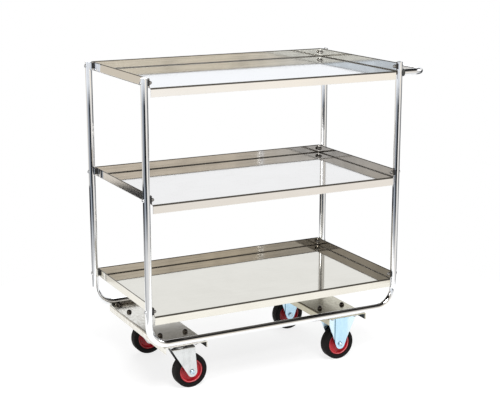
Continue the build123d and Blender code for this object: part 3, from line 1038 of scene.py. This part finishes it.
class Pattern:
    """A Geometry Nodes tree that repeats a shape, and the plain mesh that it gives."""

    def __init__(self, name: str, inputs: dict[str, str]) -> None:
        """Starts the tree.

        Args:
            name: name of the tree.
            inputs: socket type by input name, without its common start.
        """
        outputs = {"Geometry": "Geometry"}
        sockets = {**outputs, "Shape": "Object", **inputs, "Place": "Vector", "Finish": "Material"}
        self.wiring, self.given, self.made = open_tree(name, "GeometryNodeTree", sockets, outputs)

    def half(self, name: str) -> Socket:
        """Half of an input, below zero."""
        return self.wiring.calc("MULTIPLY", self.given[name], -0.5)

    def line(self, count: Socket | int, start: Socket | None, step: Socket) -> Socket:
        """A row of points.

        Args:
            count: number of points.
            start: first point, or none for the origin.
            step: distance to the next point.

        Returns:
            The points as a mesh.
        """
        values = {"Count": count, "Offset": step}
        if start is not None:
            values["Start Location"] = start
        return self.wiring.add("GeometryNodeMeshLine", values).outputs[0]

    def repeat(self, points: Socket, shape: Socket) -> Socket:
        """Copies points or a row of points onto every point."""
        copies = self.wiring.add("GeometryNodeInstanceOnPoints", {"Points": points, "Instance": shape})
        return self.wiring.add("GeometryNodeRealizeInstances", {"Geometry": copies.outputs[0]}).outputs[0]

    def shapes(self, points: Socket, **inputs: Socket) -> Socket:
        """Puts the pattern's shape on every point.

        Args:
            points: the points.
            inputs: further inputs by name.

        Returns:
            The instances.
        """
        source = {"Object": self.given["Shape"], "As Instance": True}
        shape = self.wiring.add("GeometryNodeObjectInfo", source).outputs["Geometry"]
        values = {"Points": points, "Instance": shape, **inputs}
        return self.wiring.add("GeometryNodeInstanceOnPoints", values).outputs[0]

    def both_ends(self, geometry: Socket) -> Socket:
        """Joins a geometry with itself half a turn round.

        Args:
            geometry: the geometry at one end.

        Returns:
            The geometry at both ends.
        """
        values = {"Geometry": geometry, "Rotation": (0.0, 0.0, math.pi)}
        turned = self.wiring.add("GeometryNodeTransform", values)
        joined = self.wiring.add("GeometryNodeJoinGeometry")
        self.wiring.join(geometry, joined.inputs[0])
        self.wiring.join(turned.outputs[0], joined.inputs[0])
        return joined.outputs[0]

    def close(self, geometry: Socket) -> None:
        """Moves the result to its place and ends the tree in Realize Instances and Set Material.

        Args:
            geometry: the result, about the origin.
        """
        values = {"Geometry": geometry, "Translation": self.given["Place"]}
        moved = self.wiring.add("GeometryNodeTransform", values)
        real = self.wiring.add("GeometryNodeRealizeInstances", {"Geometry": moved.outputs[0]})
        values = {"Geometry": real.outputs[0], "Material": self.given["Finish"]}
        dressed = self.wiring.add("GeometryNodeSetMaterial", values)
        self.wiring.join(dressed.outputs[0], self.made["Geometry"])

    def mesh(self, name: str, shape: bpy.types.Mesh, finish: Finish, values: dict) -> bpy.types.Mesh:
        """Runs the tree.

        Args:
            name: name of the mesh.
            shape: mesh to repeat.
            finish: finish of the result.
            values: value by input name.

        Returns:
            A plain mesh.
        """
        lent = bpy.data.objects.new(shape.name, shape)
        holder = bpy.data.objects.new(name, bpy.data.meshes.new(name))
        for part in (lent, holder):
            bpy.context.scene.collection.objects.link(part)
        modifier = holder.modifiers.new("pattern", "NODES")
        modifier.node_group = self.wiring.tree
        values = {**values, "Shape": lent, "Finish": SHELF.get(finish)}
        for item in self.wiring.tree.interface.items_tree:
            if item.item_type == "SOCKET" and item.in_out == "INPUT" and item.name in values:
                modifier[item.identifier] = values[item.name]
        graph = bpy.context.evaluated_depsgraph_get()
        mesh = bpy.data.meshes.new_from_object(holder.evaluated_get(graph), depsgraph=graph)
        for part in (lent, holder):
            bpy.data.objects.remove(part)
        mesh.name = name
        return mesh


def bolt_grid() -> Pattern:
    """Two castor plates with four places each, on one channel.

    Returns:
        The pattern.
    """
    pattern = Pattern("bolt_grid", {"Pitch X": "Float", "Pitch Y": "Float", "Plate Gap": "Float"})
    wiring, given = pattern.wiring, pattern.given
    size = {"Size X": given["Pitch X"], "Size Y": given["Pitch Y"], "Vertices X": 2, "Vertices Y": 2}
    plate = wiring.add("GeometryNodeMeshGrid", size).outputs[0]
    start = wiring.combine(Y=pattern.half("Plate Gap"))
    plates = pattern.line(2, start, wiring.combine(Y=given["Plate Gap"]))
    pattern.close(pattern.shapes(pattern.repeat(plates, plate)))
    return pattern


def corner_columns() -> Pattern:
    """Fixings on the two posts of one end, level by level, and half a turn round those of the other end.

    Returns:
        The pattern.
    """
    inputs = {"Levels": "Int", "Level Pitch": "Float", "Row Gap": "Float", "End Gap": "Float"}
    pattern = Pattern("corner_columns", inputs)
    wiring, given = pattern.wiring, pattern.given
    levels = pattern.line(given["Levels"], None, wiring.combine(Z=given["Level Pitch"]))
    start = wiring.combine(X=pattern.half("End Gap"), Y=pattern.half("Row Gap"))
    rows = pattern.line(2, start, wiring.combine(Y=given["Row Gap"]))
    pattern.close(pattern.both_ends(pattern.shapes(pattern.repeat(rows, levels))))
    return pattern


def weld_ripples() -> Pattern:
    """Beads of overlapping ripples at two channels along one tube, and half a turn round along the other.

    Returns:
        The pattern.
    """
    lengths = {"Length": "Float", "Channel Gap": "Float", "Row Gap": "Float"}
    pattern = Pattern("weld_ripples", {**lengths, "Ripples": "Int", "Seed": "Int"})
    wiring, given = pattern.wiring, pattern.given
    step = wiring.calc("DIVIDE", given["Length"], given["Ripples"])
    bead = pattern.line(given["Ripples"], wiring.combine(X=pattern.half("Length")), wiring.combine(X=step))
    start = wiring.combine(X=pattern.half("Channel Gap"), Y=pattern.half("Row Gap"))
    channels = pattern.line(2, start, wiring.combine(X=given["Channel Gap"]))
    spread = {"Min": (0.9, 0.9, 0.86), "Max": (1.1, 1.0, 1.0), "Seed": given["Seed"]}
    sizes = wiring.add("FunctionNodeRandomValue", spread, data_type="FLOAT_VECTOR").outputs[0]
    pattern.close(pattern.both_ends(pattern.shapes(pattern.repeat(channels, bead), Scale=sizes)))
    return pattern


# Sub-assemblies


@dataclass
class TubeFrames:
    """The two side frames with their caps, and the push handle with its collars and bolts."""

    tubes: tuple[str, ...] = ("side_frame_front", "side_frame_rear", "push_handle", "post_caps")

    def dress(self) -> None:
        """Gives the tubes and their fittings their finishes."""
        SHELF.dress(BRIGHT_TUBE, *self.tubes)
        SHELF.dress(GREY_MOULDING, "handle_collars")
        SHELF.dress(PLAIN_STEEL, "handle_plugs")
        SHELF.dress(BLACK_BOLT, "handle_bolts")


@dataclass(frozen=True)
class TrayTone:
    """How bright one tray's floor and rims are: painted light, with the same steel shown darker and warmer
    lower down as painted shade, and the rims in a painted reflection tint.
    """

    tint: Colour
    shade: Colour
    rim: Colour


@dataclass
class Trays:
    """The three folded trays and the fixings at their corners."""

    levels: int = 3
    screw_radius: float = 0.003
    head_radius: float = 0.0055
    head_height: float = 0.0026
    head_rim: float = 0.0006
    nut_flats: float = 0.0096
    nut_base: float = 0.0045
    nut_dome: float = 0.004
    # Painted light: the lower trays darker and warmer as painted shade, and the rim colours a painted
    # reflection.
    tones: dict[str, TrayTone] = field(
        default_factory=lambda: {
            "tray_top": TrayTone((0.95, 0.96, 0.98), (0.90, 0.91, 0.93), (0.975, 0.96, 0.90)),
            "tray_middle": TrayTone((0.89, 0.875, 0.86), (0.82, 0.80, 0.775), (0.92, 0.895, 0.86)),
            "tray_bottom": TrayTone((0.79, 0.765, 0.69), (0.71, 0.685, 0.61), (0.88, 0.83, 0.76)),
        }
    )

    def dress(self) -> None:
        """Gives the trays and spacers their finishes."""
        for node, tone in self.tones.items():
            low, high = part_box(node)
            place = {"middle": tuple(middle_of(node)), "top": high.z, "front": low.y}
            colours = {"tint": tone.tint, "shade": tone.shade, "rim": tone.rim}
            SHELF.dress(replace(TRAY_SHEET, name=f"{node}_sheet", **colours, **place), node)
        SHELF.dress(BLACK_MOULDING, "tray_spacers")

    def build_fixings(self) -> None:
        """Makes the socket screws in the posts and the dome nuts inside the tray ends."""
        columns = corner_columns()
        low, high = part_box("tray_screws")
        tube_low, tube_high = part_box("side_frame_front")
        tube_radius = (tube_high.y - tube_low.y) / 2
        nut_low, nut_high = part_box("tray_nuts")
        rim = tube_radius + self.head_rim
        reach = rim + self.head_height
        inner_end = nut_low.x - (low.x + reach) + self.nut_base
        base = math.sqrt(tube_radius**2 - self.head_radius**2)
        screw = SocketScrew(self.screw_radius, inner_end, self.head_radius, base, rim, self.head_height)
        shape = screw.mesh("tray_screw")
        shape.transform(Matrix.Rotation(math.radians(-90), 4, "Y"))
        values = {
            "Levels": self.levels,
            "Level Pitch": (high.z - low.z - 2 * self.head_radius) / (self.levels - 1),
            "Row Gap": high.y - low.y - 2 * self.head_radius,
            "End Gap": high.x - low.x - 2 * reach,
            "Place": ((low.x + high.x) / 2, 0.0, low.z + self.head_radius),
        }
        mesh = columns.mesh("tray_socket_screws", shape, PLAIN_STEEL, values)
        add_piece(mesh, PLAIN_STEEL, ROOT_BODY, "tray_screws")
        shape = HexNut(self.nut_flats, self.nut_base, self.screw_radius, self.nut_dome).mesh("dome_nut")
        shape.transform(Matrix.Rotation(math.radians(90), 4, "Y"))
        values["End Gap"] = nut_high.x - nut_low.x
        mesh = columns.mesh("tray_dome_nuts", shape, NUT_STEEL, values)
        add_piece(mesh, NUT_STEEL, ROOT_BODY, "tray_nuts")


@dataclass
class CastorChannels:
    """The two cross channels with their bolts, nuts and weld beads."""

    names: tuple[str, ...] = ("left", "right")
    # The right channel takes the copy in painted shade.
    finishes: tuple[ChannelFinish, ...] = (CHANNEL_SHEET, SHADED_CHANNEL_SHEET)
    head_radius: float = 0.0075
    head_wall: float = 0.0015
    shank_radius: float = 0.004
    nut_flats: float = 0.013
    nut_height: float = 0.0065
    ripple: Place = (0.0024, 0.0034, 0.0029)
    ripple_rings: int = 8
    ripple_steps: int = 12
    ripple_pole: float = 0.05
    ripples: int = 60
    bead_rise: float = 0.75
    seed: int = 7

    def dress(self) -> None:
        """Gives the channels their finish."""
        for name, finish in zip(self.names, self.finishes):
            node = f"castor_channel_{name}"
            SHELF.dress(replace(finish, name=f"{node}_sheet", middle=tuple(middle_of(node))), node)

    def build_bolts(self) -> None:
        """Makes the dark round-headed bolts and the nuts under the plates."""
        grid = bolt_grid()
        head = self.head_wall + self.head_radius
        for name in self.names:
            bolts, nuts = f"castor_bolts_{name}", f"castor_nuts_{name}"
            low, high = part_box(bolts)
            plate = middle_of("fixed_fork_rear").y
            values = {
                "Pitch X": high.x - low.x - 2 * self.head_radius,
                "Pitch Y": 2 * (high.y - self.head_radius - plate),
                "Plate Gap": 2 * plate,
                "Place": ((low.x + high.x) / 2, 0.0, high.z - head),
            }
            shank = high.z - head - low.z
            bolt = RoundBolt(self.head_radius, self.head_wall, self.shank_radius, shank)
            shape = bolt.mesh("castor_bolt")
            mesh = grid.mesh(f"channel_bolts_{name}", shape, BLACK_BOLT, values)
            add_piece(mesh, BLACK_BOLT, ROOT_BODY, bolts)
            shape = HexNut(self.nut_flats, self.nut_height, self.shank_radius).mesh("castor_nut")
            values["Place"] = ((low.x + high.x) / 2, 0.0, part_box(nuts)[0].z)
            mesh = grid.mesh(f"channel_nuts_{name}", shape, PLAIN_STEEL, values)
            add_piece(mesh, PLAIN_STEEL, ROOT_BODY, nuts)

    def build_welds(self) -> None:
        """Makes the rippled weld beads between tubes and channels."""
        low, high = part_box("channel_welds")
        left, right = (middle_of(f"castor_channel_{name}").x for name in self.names)
        along, across, tall = self.ripple
        turns = [math.pi * k / self.ripple_rings for k in range(1, self.ripple_rings)]
        profile = [(math.sin(turn), -math.cos(turn)) for turn in turns]
        poles = [(self.ripple_pole, end) for end in (-1.0, 1.0)]
        shape = lathe("ripple", [poles[0], *profile, poles[1]], self.ripple_steps)
        shape.transform(Matrix.Diagonal((along, across, tall, 1.0)))
        values = {
            "Length": 2 * (high.x - right - along),
            "Ripples": self.ripples,
            "Channel Gap": right - left,
            "Row Gap": high.y - low.y - 2 * across,
            "Seed": self.seed,
            "Place": ((left + right) / 2, 0.0, low.z + self.bead_rise * tall),
        }
        mesh = weld_ripples().mesh("weld_beads", shape, WELD_METAL, values)
        add_piece(mesh, WELD_METAL, ROOT_BODY, "channel_welds")


# Points of the tyre's bead and groove: distance out from the seat, and depth below the side.
TYRE_BEAD: Profile = [
    (0.0, 0.0012), (0.0004, 0.0003), (0.0012, 0.0), (0.0022, 0.0),
    (0.0027, 0.0005), (0.0034, 0.0005), (0.0039, 0.0),
]
# Points round the corners of the wheel centre's profile: steps from each corner, outwards and along the axle.
BORE_EDGE: Profile = [(0.0, -0.0006), (0.0006, 0.0)]
BOSS_EDGE: Profile = [(-0.0009, 0.0), (0.0, -0.0009)]
BOSS_FOOT: Profile = [(0.0, 0.0016), (0.0005, 0.0005), (0.0016, 0.0), (0.0062, 0.0), (0.0070, -0.0009)]
LIP_FOOT: Profile = [
    (-0.0052, -0.0009), (-0.0042, 0.0), (-0.0020, 0.0006), (-0.0007, 0.0020), (0.0, 0.0040),
]
LIP_INSIDE: Profile = [(0.0, -0.0020), (0.0003, -0.0010), (0.0009, -0.0003), (0.0016, 0.0)]
LIP_OUTSIDE: Profile = [(-0.0010, 0.0), (-0.0003, -0.0004), (0.0, -0.0012)]


@dataclass
class CastorSet:
    """One castor: fork, plate, pivot, axle and wheel."""

    kind: Kind
    row: Row
    axle_flats: float = 0.013
    axle_head: float = 0.0053
    axle_radius: float = 0.004
    nut_height: float = 0.0065
    shoulder: float = 0.005
    shoulder_steps: int = 8
    crown: float = 0.0004
    crown_steps: int = 6
    tread_start: float = 0.7
    rim_lip: float = 0.0035
    rim_share: float = 0.45
    # the ring inside the lip that gets a painted highlight
    highlight_ring_depth: float = 0.0011
    highlight_ring_width: float = 0.0012
    web_half: float = 0.0045
    boss_radius: float = 0.012
    bore: float = 0.00725
    wheel_steps: int = 96

    @property
    def fork_body(self) -> str:
        """The CAD body that carries the axle."""
        return ROOT_BODY if self.kind is Kind.FIXED else f"swivel_{self.row.value}"

    @property
    def wheel_body(self) -> str:
        """The CAD body of the wheel."""
        return f"{self.kind.value}_wheel_{self.row.value}"

    def node(self, piece: str) -> str:
        """The CAD node of one of the castor's own pieces."""
        return f"{self.kind.value}_{piece}_{self.row.value}"

    def dress(self) -> None:
        """Gives the fork and the pivot their finishes."""
        SHELF.dress(PLAIN_STEEL, self.node("bush"))
        if self.kind is Kind.FIXED:
            fork = self.node("fork")
            place = {"middle": tuple(middle_of(fork)), "top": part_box(fork)[1].z}
            SHELF.dress(replace(BLUE_ZINC, name=f"{fork}_zinc", **place), fork)
            return
        row = self.row.value
        SHELF.dress(PALE_ZINC, self.node("fork"))
        # The swivel plate in painted shade.
        SHELF.dress(SHADED_ZINC, f"swivel_plate_{row}")
        SHELF.dress(PLAIN_STEEL, f"kingpin_{row}", f"kingpin_nut_{row}")
        SHELF.dress(BALL_STEEL, f"swivel_balls_{row}")

    def build_axle(self) -> None:
        """Makes the axle bolt with its head at the front, and its nut at the rear."""
        along_y = Matrix.Rotation(math.radians(-90), 4, "X")
        low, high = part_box(self.node("axle"))
        nut_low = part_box(self.node("axle_nut"))[0]
        middle = (low + high) / 2
        head_face = low.y + self.axle_head
        axle = AxleBolt(self.axle_flats, self.axle_head, self.axle_radius, high.y - head_face)
        nut = HexNut(self.axle_flats, self.nut_height, self.axle_radius, steps=48)
        for shape, face, replaced in ((axle, head_face, "axle"), (nut, nut_low.y, "axle_nut")):
            mesh = shape.mesh(self.node(replaced) + "_turned")
            mesh.transform(Matrix.Translation((middle.x, face, middle.z)) @ along_y)
            add_piece(mesh, AXLE_ZINC, self.fork_body, self.node(replaced))

    def add_turned(self, piece: str, mesh: bpy.types.Mesh, finish: Finish) -> None:
        """Turns a mesh to the axle, moves it to the wheel's middle and adds it.

        Args:
            piece: piece of the wheel that it stands for.
            mesh: the mesh, about the z axis.
            finish: its finish.
        """
        along_y = Matrix.Rotation(math.radians(90), 4, "X")
        mesh.transform(Matrix.Translation(middle_of(self.node("tyre"))) @ along_y)
        add_piece(mesh, finish, self.wheel_body, self.node(piece))

    def build_tyre(self) -> None:
        """Makes the tyre with its bead, sidewall groove, rounded shoulders and crowned tread."""
        low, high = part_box(self.node("tyre"))
        hub_low, hub_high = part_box(self.node("hub"))
        radius, half = (high.z - low.z) / 2, (high.y - low.y) / 2
        seat = (hub_high.z - hub_low.z) / 2
        edge = (radius - self.shoulder, half - self.shoulder)
        side: Profile = [(seat + out, half - depth) for out, depth in TYRE_BEAD]
        side += arc(edge, self.shoulder, 90, 0, self.shoulder_steps)[:-1]
        shares = [k / self.crown_steps for k in range(self.crown_steps, 0, -1)]
        side += [(radius - self.crown * share**2, edge[1] * share) for share in shares]
        profile = [(reach, -height) for reach, height in side] + [(radius, 0.0)] + side[::-1]
        mesh = lathe(self.node("tyre") + "_rubber", profile, self.wheel_steps, loop=True)
        tread = mesh.attributes.new(TYRE_RUBBER.attribute, "FLOAT", "POINT")
        for vertex, mark in zip(mesh.vertices, tread.data):
            reach = math.hypot(vertex.co.x, vertex.co.y)
            mark.value = min(1.0, max(0.0, (reach - edge[0]) / (self.tread_start * self.shoulder)))
        self.add_turned("tyre", mesh, TYRE_RUBBER)

    def build_centre(self) -> None:
        """Makes the red wheel centre with its rounded lip, dished web and boss, and marks the ring inside the
        lip that gets a painted highlight.
        """
        low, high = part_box(self.node("hub"))
        tyre_low, tyre_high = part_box(self.node("tyre"))
        radius, boss = (high.z - low.z) / 2, (high.y - low.y) / 2
        rim = self.rim_share * (tyre_high.y - tyre_low.y)
        dish, web, hub = radius - self.rim_lip, self.web_half, self.boss_radius
        corners = (
            (self.bore, boss, BORE_EDGE),
            (hub, boss, BOSS_EDGE),
            (hub, web, BOSS_FOOT),
            (dish, web, LIP_FOOT),
            (dish, rim, LIP_INSIDE),
            (radius, rim, LIP_OUTSIDE),
        )
        side = [(reach + out, height + along) for reach, height, edge in corners for out, along in edge]
        profile = [(reach, -height) for reach, height in side] + side[::-1]
        mesh = lathe(self.node("hub") + "_centre", profile, self.wheel_steps, loop=True)
        # Marks the ring inside the lip for a painted highlight.
        rubbed = mesh.attributes.new(RED_ENAMEL.attribute, "FLOAT", "POINT")
        for vertex, mark in zip(mesh.vertices, rubbed.data):
            reach = math.hypot(vertex.co.x, vertex.co.y)
            outside = abs(vertex.co.z) > rim - self.highlight_ring_depth
            mark.value = float(outside and dish <= reach < dish + self.highlight_ring_width)
        self.add_turned("hub", mesh, RED_ENAMEL)


# Studio


@dataclass(frozen=True)
class Lamp:
    """A soft square lamp that looks at the trolley."""

    name: str
    place: Place
    side: float
    watts: float

    def build(self, aim: Vector) -> None:
        """Hangs the lamp.

        Args:
            aim: point that it faces.
        """
        light = bpy.data.lights.new(self.name, "AREA")
        light.shape = "SQUARE"
        light.size = self.side
        light.energy = self.watts
        lamp = bpy.data.objects.new(self.name, light)
        bpy.context.scene.collection.objects.link(lamp)
        lamp.location = self.place
        lamp.rotation_mode = "QUATERNION"
        lamp.rotation_quaternion = (aim - Vector(self.place)).to_track_quat("-Z", "Y")


@dataclass(frozen=True)
class Band:
    """A ring of the studio that bright metal mirrors.

    Each stop has a bearing in degrees from the camera's heading, a brightness, and a warmth that is below
    zero for teal.
    """

    height: float
    stops: Stops
    added_red: float = 0.08
    lost_blue: float = 0.12

    def build(self, wiring: Wiring, bearing: Socket) -> Socket:
        """Adds the ring's ramp of colours.

        Args:
            wiring: the tree to add to.
            bearing: bearing as a share of a turn, with the camera's heading at a half.

        Returns:
            The colour.
        """
        node = wiring.add("ShaderNodeValToRGB", {"Fac": bearing})
        ramp = node.color_ramp
        ends = (self.stops[0], (180.0, *self.stops[0][1:]))
        for number, (degrees, light, warmth) in enumerate((*ends, *self.stops[1:])):
            share = degrees / 360 + 0.5
            stop = ramp.elements[number] if number < 2 else ramp.elements.new(share)
            stop.position = share
            red, blue = light * (1 + self.added_red * warmth), light * (1 - self.lost_blue * warmth)
            stop.color = (red, light, blue, 1.0)
        return node.outputs["Color"]


# Stops of the rings.
AHEAD: Stops = ((-35, 0.75, 0), (-18, 0.97, -0.2), (18, 0.97, -0.2), (40, 0.85, 0), (60, 0.80, 0.3))
EYE_LEVEL: Stops = (
    (-180, 0.85, -0.3), (-156, 0.75, -0.3), (-121, 0.95, -0.5), (-79, 0.85, 0), (-62, 0.60, 1.5),
    (-48, 0.56, 1.5), (-25, 0.97, 0), (18, 0.97, 0), (25, 0.06, -1), (60, 0.08, -1), (76, 0.40, 0),
    (102, 0.70, 0), (115, 0.86, 1.3), (145, 0.95, 0.7), (155, 0.85, -0.3),
)
BANDS = (
    Band(-0.28, (
        (-180, 0.75, 0), (-112, 0.65, 0), (-95, 0.25, -1), (-80, 0.20, -1), (-66, 0.85, 0.3),
        (-48, 0.85, 0.3), (-42, 0.10, -1), (-25, 0.08, -1), (-18, 0.95, 0), (18, 0.95, 0), (25, 0.05, -1),
        (56, 0.06, -1), (70, 0.50, 0), (102, 0.75, 0), (119, 0.85, 0.6), (148, 0.95, 0.4), (160, 0.75, 0),
    )),
    Band(-0.24, (
        (-180, 0.06, -2), (-165, 0.10, -2), (-152, 0.45, -1), (-124, 0.50, -1), (-112, 0.02, -2),
        (-40, 0.01, -2), (-25, 0.06, -1), (-18, 0.95, 0), (18, 0.95, 0), (25, 0.05, -1), (56, 0.06, -1),
        (70, 0.55, 0), (102, 0.85, 0), (119, 0.86, 0.6), (140, 0.80, 0.6), (149, 0.30, -1),
        (158, 0.04, -2),
    )),
    Band(-0.2185, (
        (-180, 0.03, -2), (-162, 0.06, -2), (-150, 0.35, -1), (-124, 0.42, -1), (-112, 0.04, -2),
        (-40, 0.01, -2), (-25, 0.30, -1), (-18, 0.95, 0), (18, 0.95, 0), (25, 0.04, -1), (60, 0.05, -1),
        (74, 0.42, 0), (102, 0.62, 0), (116, 0.86, 0.6), (143, 0.88, 0.5), (151, 0.15, -1),
        (156, 0.02, -2),
    )),
    Band(-0.2160, (
        (-180, 0.005, -2), (-160, 0.02, -2), (-148, 0.26, -1), (-116, 0.36, -1), (-100, 0.40, 0),
        (-80, 0.72, 0), (-48, 0.72, 0.8), (-25, 0.90, 0), (18, 0.95, 0), (25, 0.03, -1), (64, 0.03, -1),
        (78, 0.30, 0), (100, 0.42, 0), (112, 0.85, 0.5), (119, 0.88, 0.6), (147, 0.95, 0.4),
        (153, 0.01, -2),
    )),
    Band(-0.152, (
        (-180, 0.02, -2), (-160, 0.06, -2), (-148, 0.32, -1), (-116, 0.45, -1), (-100, 0.60, 0),
        (-80, 0.80, 0.5), (-48, 0.72, 1.0), (-25, 0.90, 0), (18, 0.95, 0), (25, 0.03, -1), (64, 0.03, -1),
        (78, 0.35, 0), (100, 0.45, 0), (112, 0.85, 0.5), (119, 0.90, 0.6), (147, 0.97, 0.4),
        (153, 0.03, -2),
    )),
    Band(-0.134, EYE_LEVEL),
    Band(0.07, EYE_LEVEL),
    Band(0.1, (
        (-180, 0.97, -0.2), (-120, 0.75, 0.3), (-70, 0.83, -1.4), (-52, 0.83, -1.4), (-35, 0.85, 0),
        (-18, 0.98, -0.2), (18, 0.98, -0.2), (40, 0.85, 0), (60, 0.80, 0.3), (100, 0.62, 0),
        (122, 0.76, 0.1), (125, 0.58, 1.3), (131, 0.655, 1.2), (145, 0.66, 1.2),
    )),
    Band(0.22, (
        (-180, 0.54, -0.4), (-120, 0.66, 0.5), (-70, 0.44, 1.0), (-52, 0.44, 1.0), *AHEAD, (100, 0.46, 0),
        (123, 0.52, 0.2), (126, 0.62, 1.2), (145, 0.66, 1.2),
    )),
    Band(0.28, (
        (-180, 0.09, 0.5), (-160, 0.12, 0.5), (-120, 0.60, 0.5), (-70, 0.33, 0.6), (-52, 0.33, 0.6),
        *AHEAD, (100, 0.30, 0), (123, 0.38, 0.2), (126, 0.60, 1.1), (131, 0.69, 0.5), (145, 0.72, 0.4),
    )),
    Band(0.34, (
        (-180, 0.55, 1.4), (-120, 0.68, 1), (-70, 0.34, 0.5), (-52, 0.34, 0.5), *AHEAD, (100, 0.26, 0.4),
        (123, 0.34, 0.5), (126, 0.54, 0.9), (131, 0.66, 0.4), (145, 0.72, 0.4),
    )),
    Band(0.43, (
        (-180, 0.55, 1.4), (-120, 0.68, 1), (-60, 0.45, 0.5), (-18, 0.97, -0.2), (18, 0.97, -0.2),
        (60, 0.80, 0.3), (110, 0.50, 1.2), (140, 0.55, 1.4),
    )),
    Band(0.53, ((-180, 0.02, 0), (0, 0.02, 0))),
)


@dataclass
class Studio:
    """Pale floor, soft lamps, white surroundings and the camera at the photograph's angle."""

    eye: Place = (-1.62188, -3.07663, 1.30832)
    yaw: float = -27.464
    pitch: float = -13.748
    focal_pixels: float = 1189.637
    picture_width: float = 500.0
    sensor: float = 36.0
    aim: Place = (0.0, 0.0, 0.45)
    floor_radius: float = 1.15
    floor_drop: float = 0.0003
    floor_steps: int = 96
    floor_tone: float = 0.36
    floor_glow: float = 0.78
    ambient: float = 0.42
    lamps: tuple[Lamp, ...] = (
        Lamp("key_lamp", (-0.6, -2.0, 2.9), 1.4, 80.0),
        Lamp("fill_lamp", (3.0, -1.1, 2.2), 1.4, 20.0),
        Lamp("rear_lamp", (0.6, 2.4, 2.5), 1.6, 18.0),
        Lamp("side_lamp", (-2.7, -0.7, 1.5), 0.9, 9.0),
    )

    def build(self) -> None:
        """Sets up everything round the trolley."""
        self.build_camera()
        self.build_floor()
        self.build_surroundings()
        for lamp in self.lamps:
            lamp.build(Vector(self.aim))
        bpy.context.scene.view_settings.view_transform = "Standard"

    def build_camera(self) -> None:
        """Places the camera."""
        data = bpy.data.cameras.new("camera")
        data.sensor_width = self.sensor
        data.lens = self.focal_pixels / self.picture_width * self.sensor
        camera = bpy.data.objects.new("camera", data)
        bpy.context.scene.collection.objects.link(camera)
        yaw, pitch = math.radians(self.yaw), math.radians(self.pitch)
        ahead = Vector((-math.sin(yaw) * math.cos(pitch), math.cos(yaw) * math.cos(pitch), math.sin(pitch)))
        camera.location = self.eye
        camera.rotation_mode = "QUATERNION"
        camera.rotation_quaternion = ahead.to_track_quat("-Z", "Y")
        bpy.context.scene.camera = camera

    def seen(self, wiring: Wiring) -> tuple[Socket, Socket]:
        """Whether a ray shows the surroundings.

        Args:
            wiring: the tree to add to.

        Returns:
            Masks for camera rays alone, and for camera, glossy and transmission rays.
        """
        path = wiring.add("ShaderNodeLightPath").outputs
        mirrored = wiring.calc("MAXIMUM", path["Is Glossy Ray"], path["Is Transmission Ray"])
        return path["Is Camera Ray"], wiring.calc("MAXIMUM", path["Is Camera Ray"], mirrored)

    def build_floor(self) -> None:
        """Lays the round floor, which keeps the trolley's shadow and is clear from below."""
        rim = circle(self.floor_radius, -self.floor_drop, self.floor_steps)
        mesh = bpy.data.meshes.new("studio_floor")
        mesh.from_pydata(rim, [], [tuple(range(len(rim)))])
        floor = bpy.data.objects.new("studio_floor", mesh)
        bpy.context.scene.collection.objects.link(floor)
        material = bpy.data.materials.new("pale_floor")
        material.use_nodes = True
        material.node_tree.nodes.clear()
        wiring = Wiring(material.node_tree)
        shown = self.seen(wiring)[1]
        matt = wiring.add("ShaderNodeBsdfDiffuse", {"Color": (*[self.floor_tone] * 3, 1.0)})
        strength = wiring.calc("MULTIPLY", shown, self.floor_glow)
        glow = wiring.add("ShaderNodeEmission", {"Color": (1.0, 1.0, 1.0, 1.0), "Strength": strength})
        both = wiring.add("ShaderNodeAddShader", {0: matt.outputs[0], 1: glow.outputs[0]})
        below = wiring.add("ShaderNodeNewGeometry").outputs["Backfacing"]
        clear = wiring.add("ShaderNodeBsdfTransparent")
        floor_side = wiring.add("ShaderNodeMixShader", {0: below, 1: both.outputs[0], 2: clear.outputs[0]})
        wiring.add("ShaderNodeOutputMaterial", {"Surface": floor_side.outputs[0]})
        mesh.materials.append(material)

    def build_surroundings(self) -> None:
        """Makes the white backdrop, and the studio round it that the metal mirrors."""
        world = bpy.data.worlds.new("studio")
        bpy.context.scene.world = world
        world.use_nodes = True
        world.node_tree.nodes.clear()
        wiring = Wiring(world.node_tree)
        camera_ray, shown = self.seen(wiring)
        ray = wiring.add("ShaderNodeTexCoord").outputs["Generated"]
        yaw = math.radians(self.yaw)
        ahead = wiring.vector("DOT_PRODUCT", ray, (-math.sin(yaw), math.cos(yaw), 0.0))["Value"]
        right = wiring.vector("DOT_PRODUCT", ray, (math.cos(yaw), math.sin(yaw), 0.0))["Value"]
        turn = wiring.calc("ARCTAN2", right, ahead)
        bearing = wiring.calc("ADD", wiring.calc("DIVIDE", turn, 2 * math.pi), 0.5)
        height = wiring.parts(ray)["Z"]
        view = BANDS[0].build(wiring, bearing)
        for below, band in zip(BANDS, BANDS[1:]):
            share = wiring.span(height, below.height, band.height)
            view = wiring.mix(share, view, band.build(wiring, bearing))
        view = wiring.mix(camera_ray, view, (1.0, 1.0, 1.0))
        soft = wiring.add("ShaderNodeBackground", {"Color": (1.0, 1.0, 1.0, 1.0), "Strength": self.ambient})
        mirrored = wiring.add("ShaderNodeBackground", {"Color": view, "Strength": 1.0})
        both = wiring.add("ShaderNodeMixShader", {0: shown, 1: soft.outputs[0], 2: mirrored.outputs[0]})
        wiring.add("ShaderNodeOutputWorld", {"Surface": both.outputs[0]})


def main() -> None:
    """Builds and dresses the trolley, then the studio."""
    logging.basicConfig(level=logging.INFO, format="%(name)s: %(message)s")
    TubeFrames().dress()
    trays = Trays()
    trays.dress()
    trays.build_fixings()
    channels = CastorChannels()
    channels.dress()
    channels.build_bolts()
    channels.build_welds()
    for kind in Kind:
        for row in Row:
            castor = CastorSet(kind, row)
            castor.dress()
            castor.build_axle()
            castor.build_tyre()
            castor.build_centre()
    Studio().build()


if __name__ == "__main__":
    main()
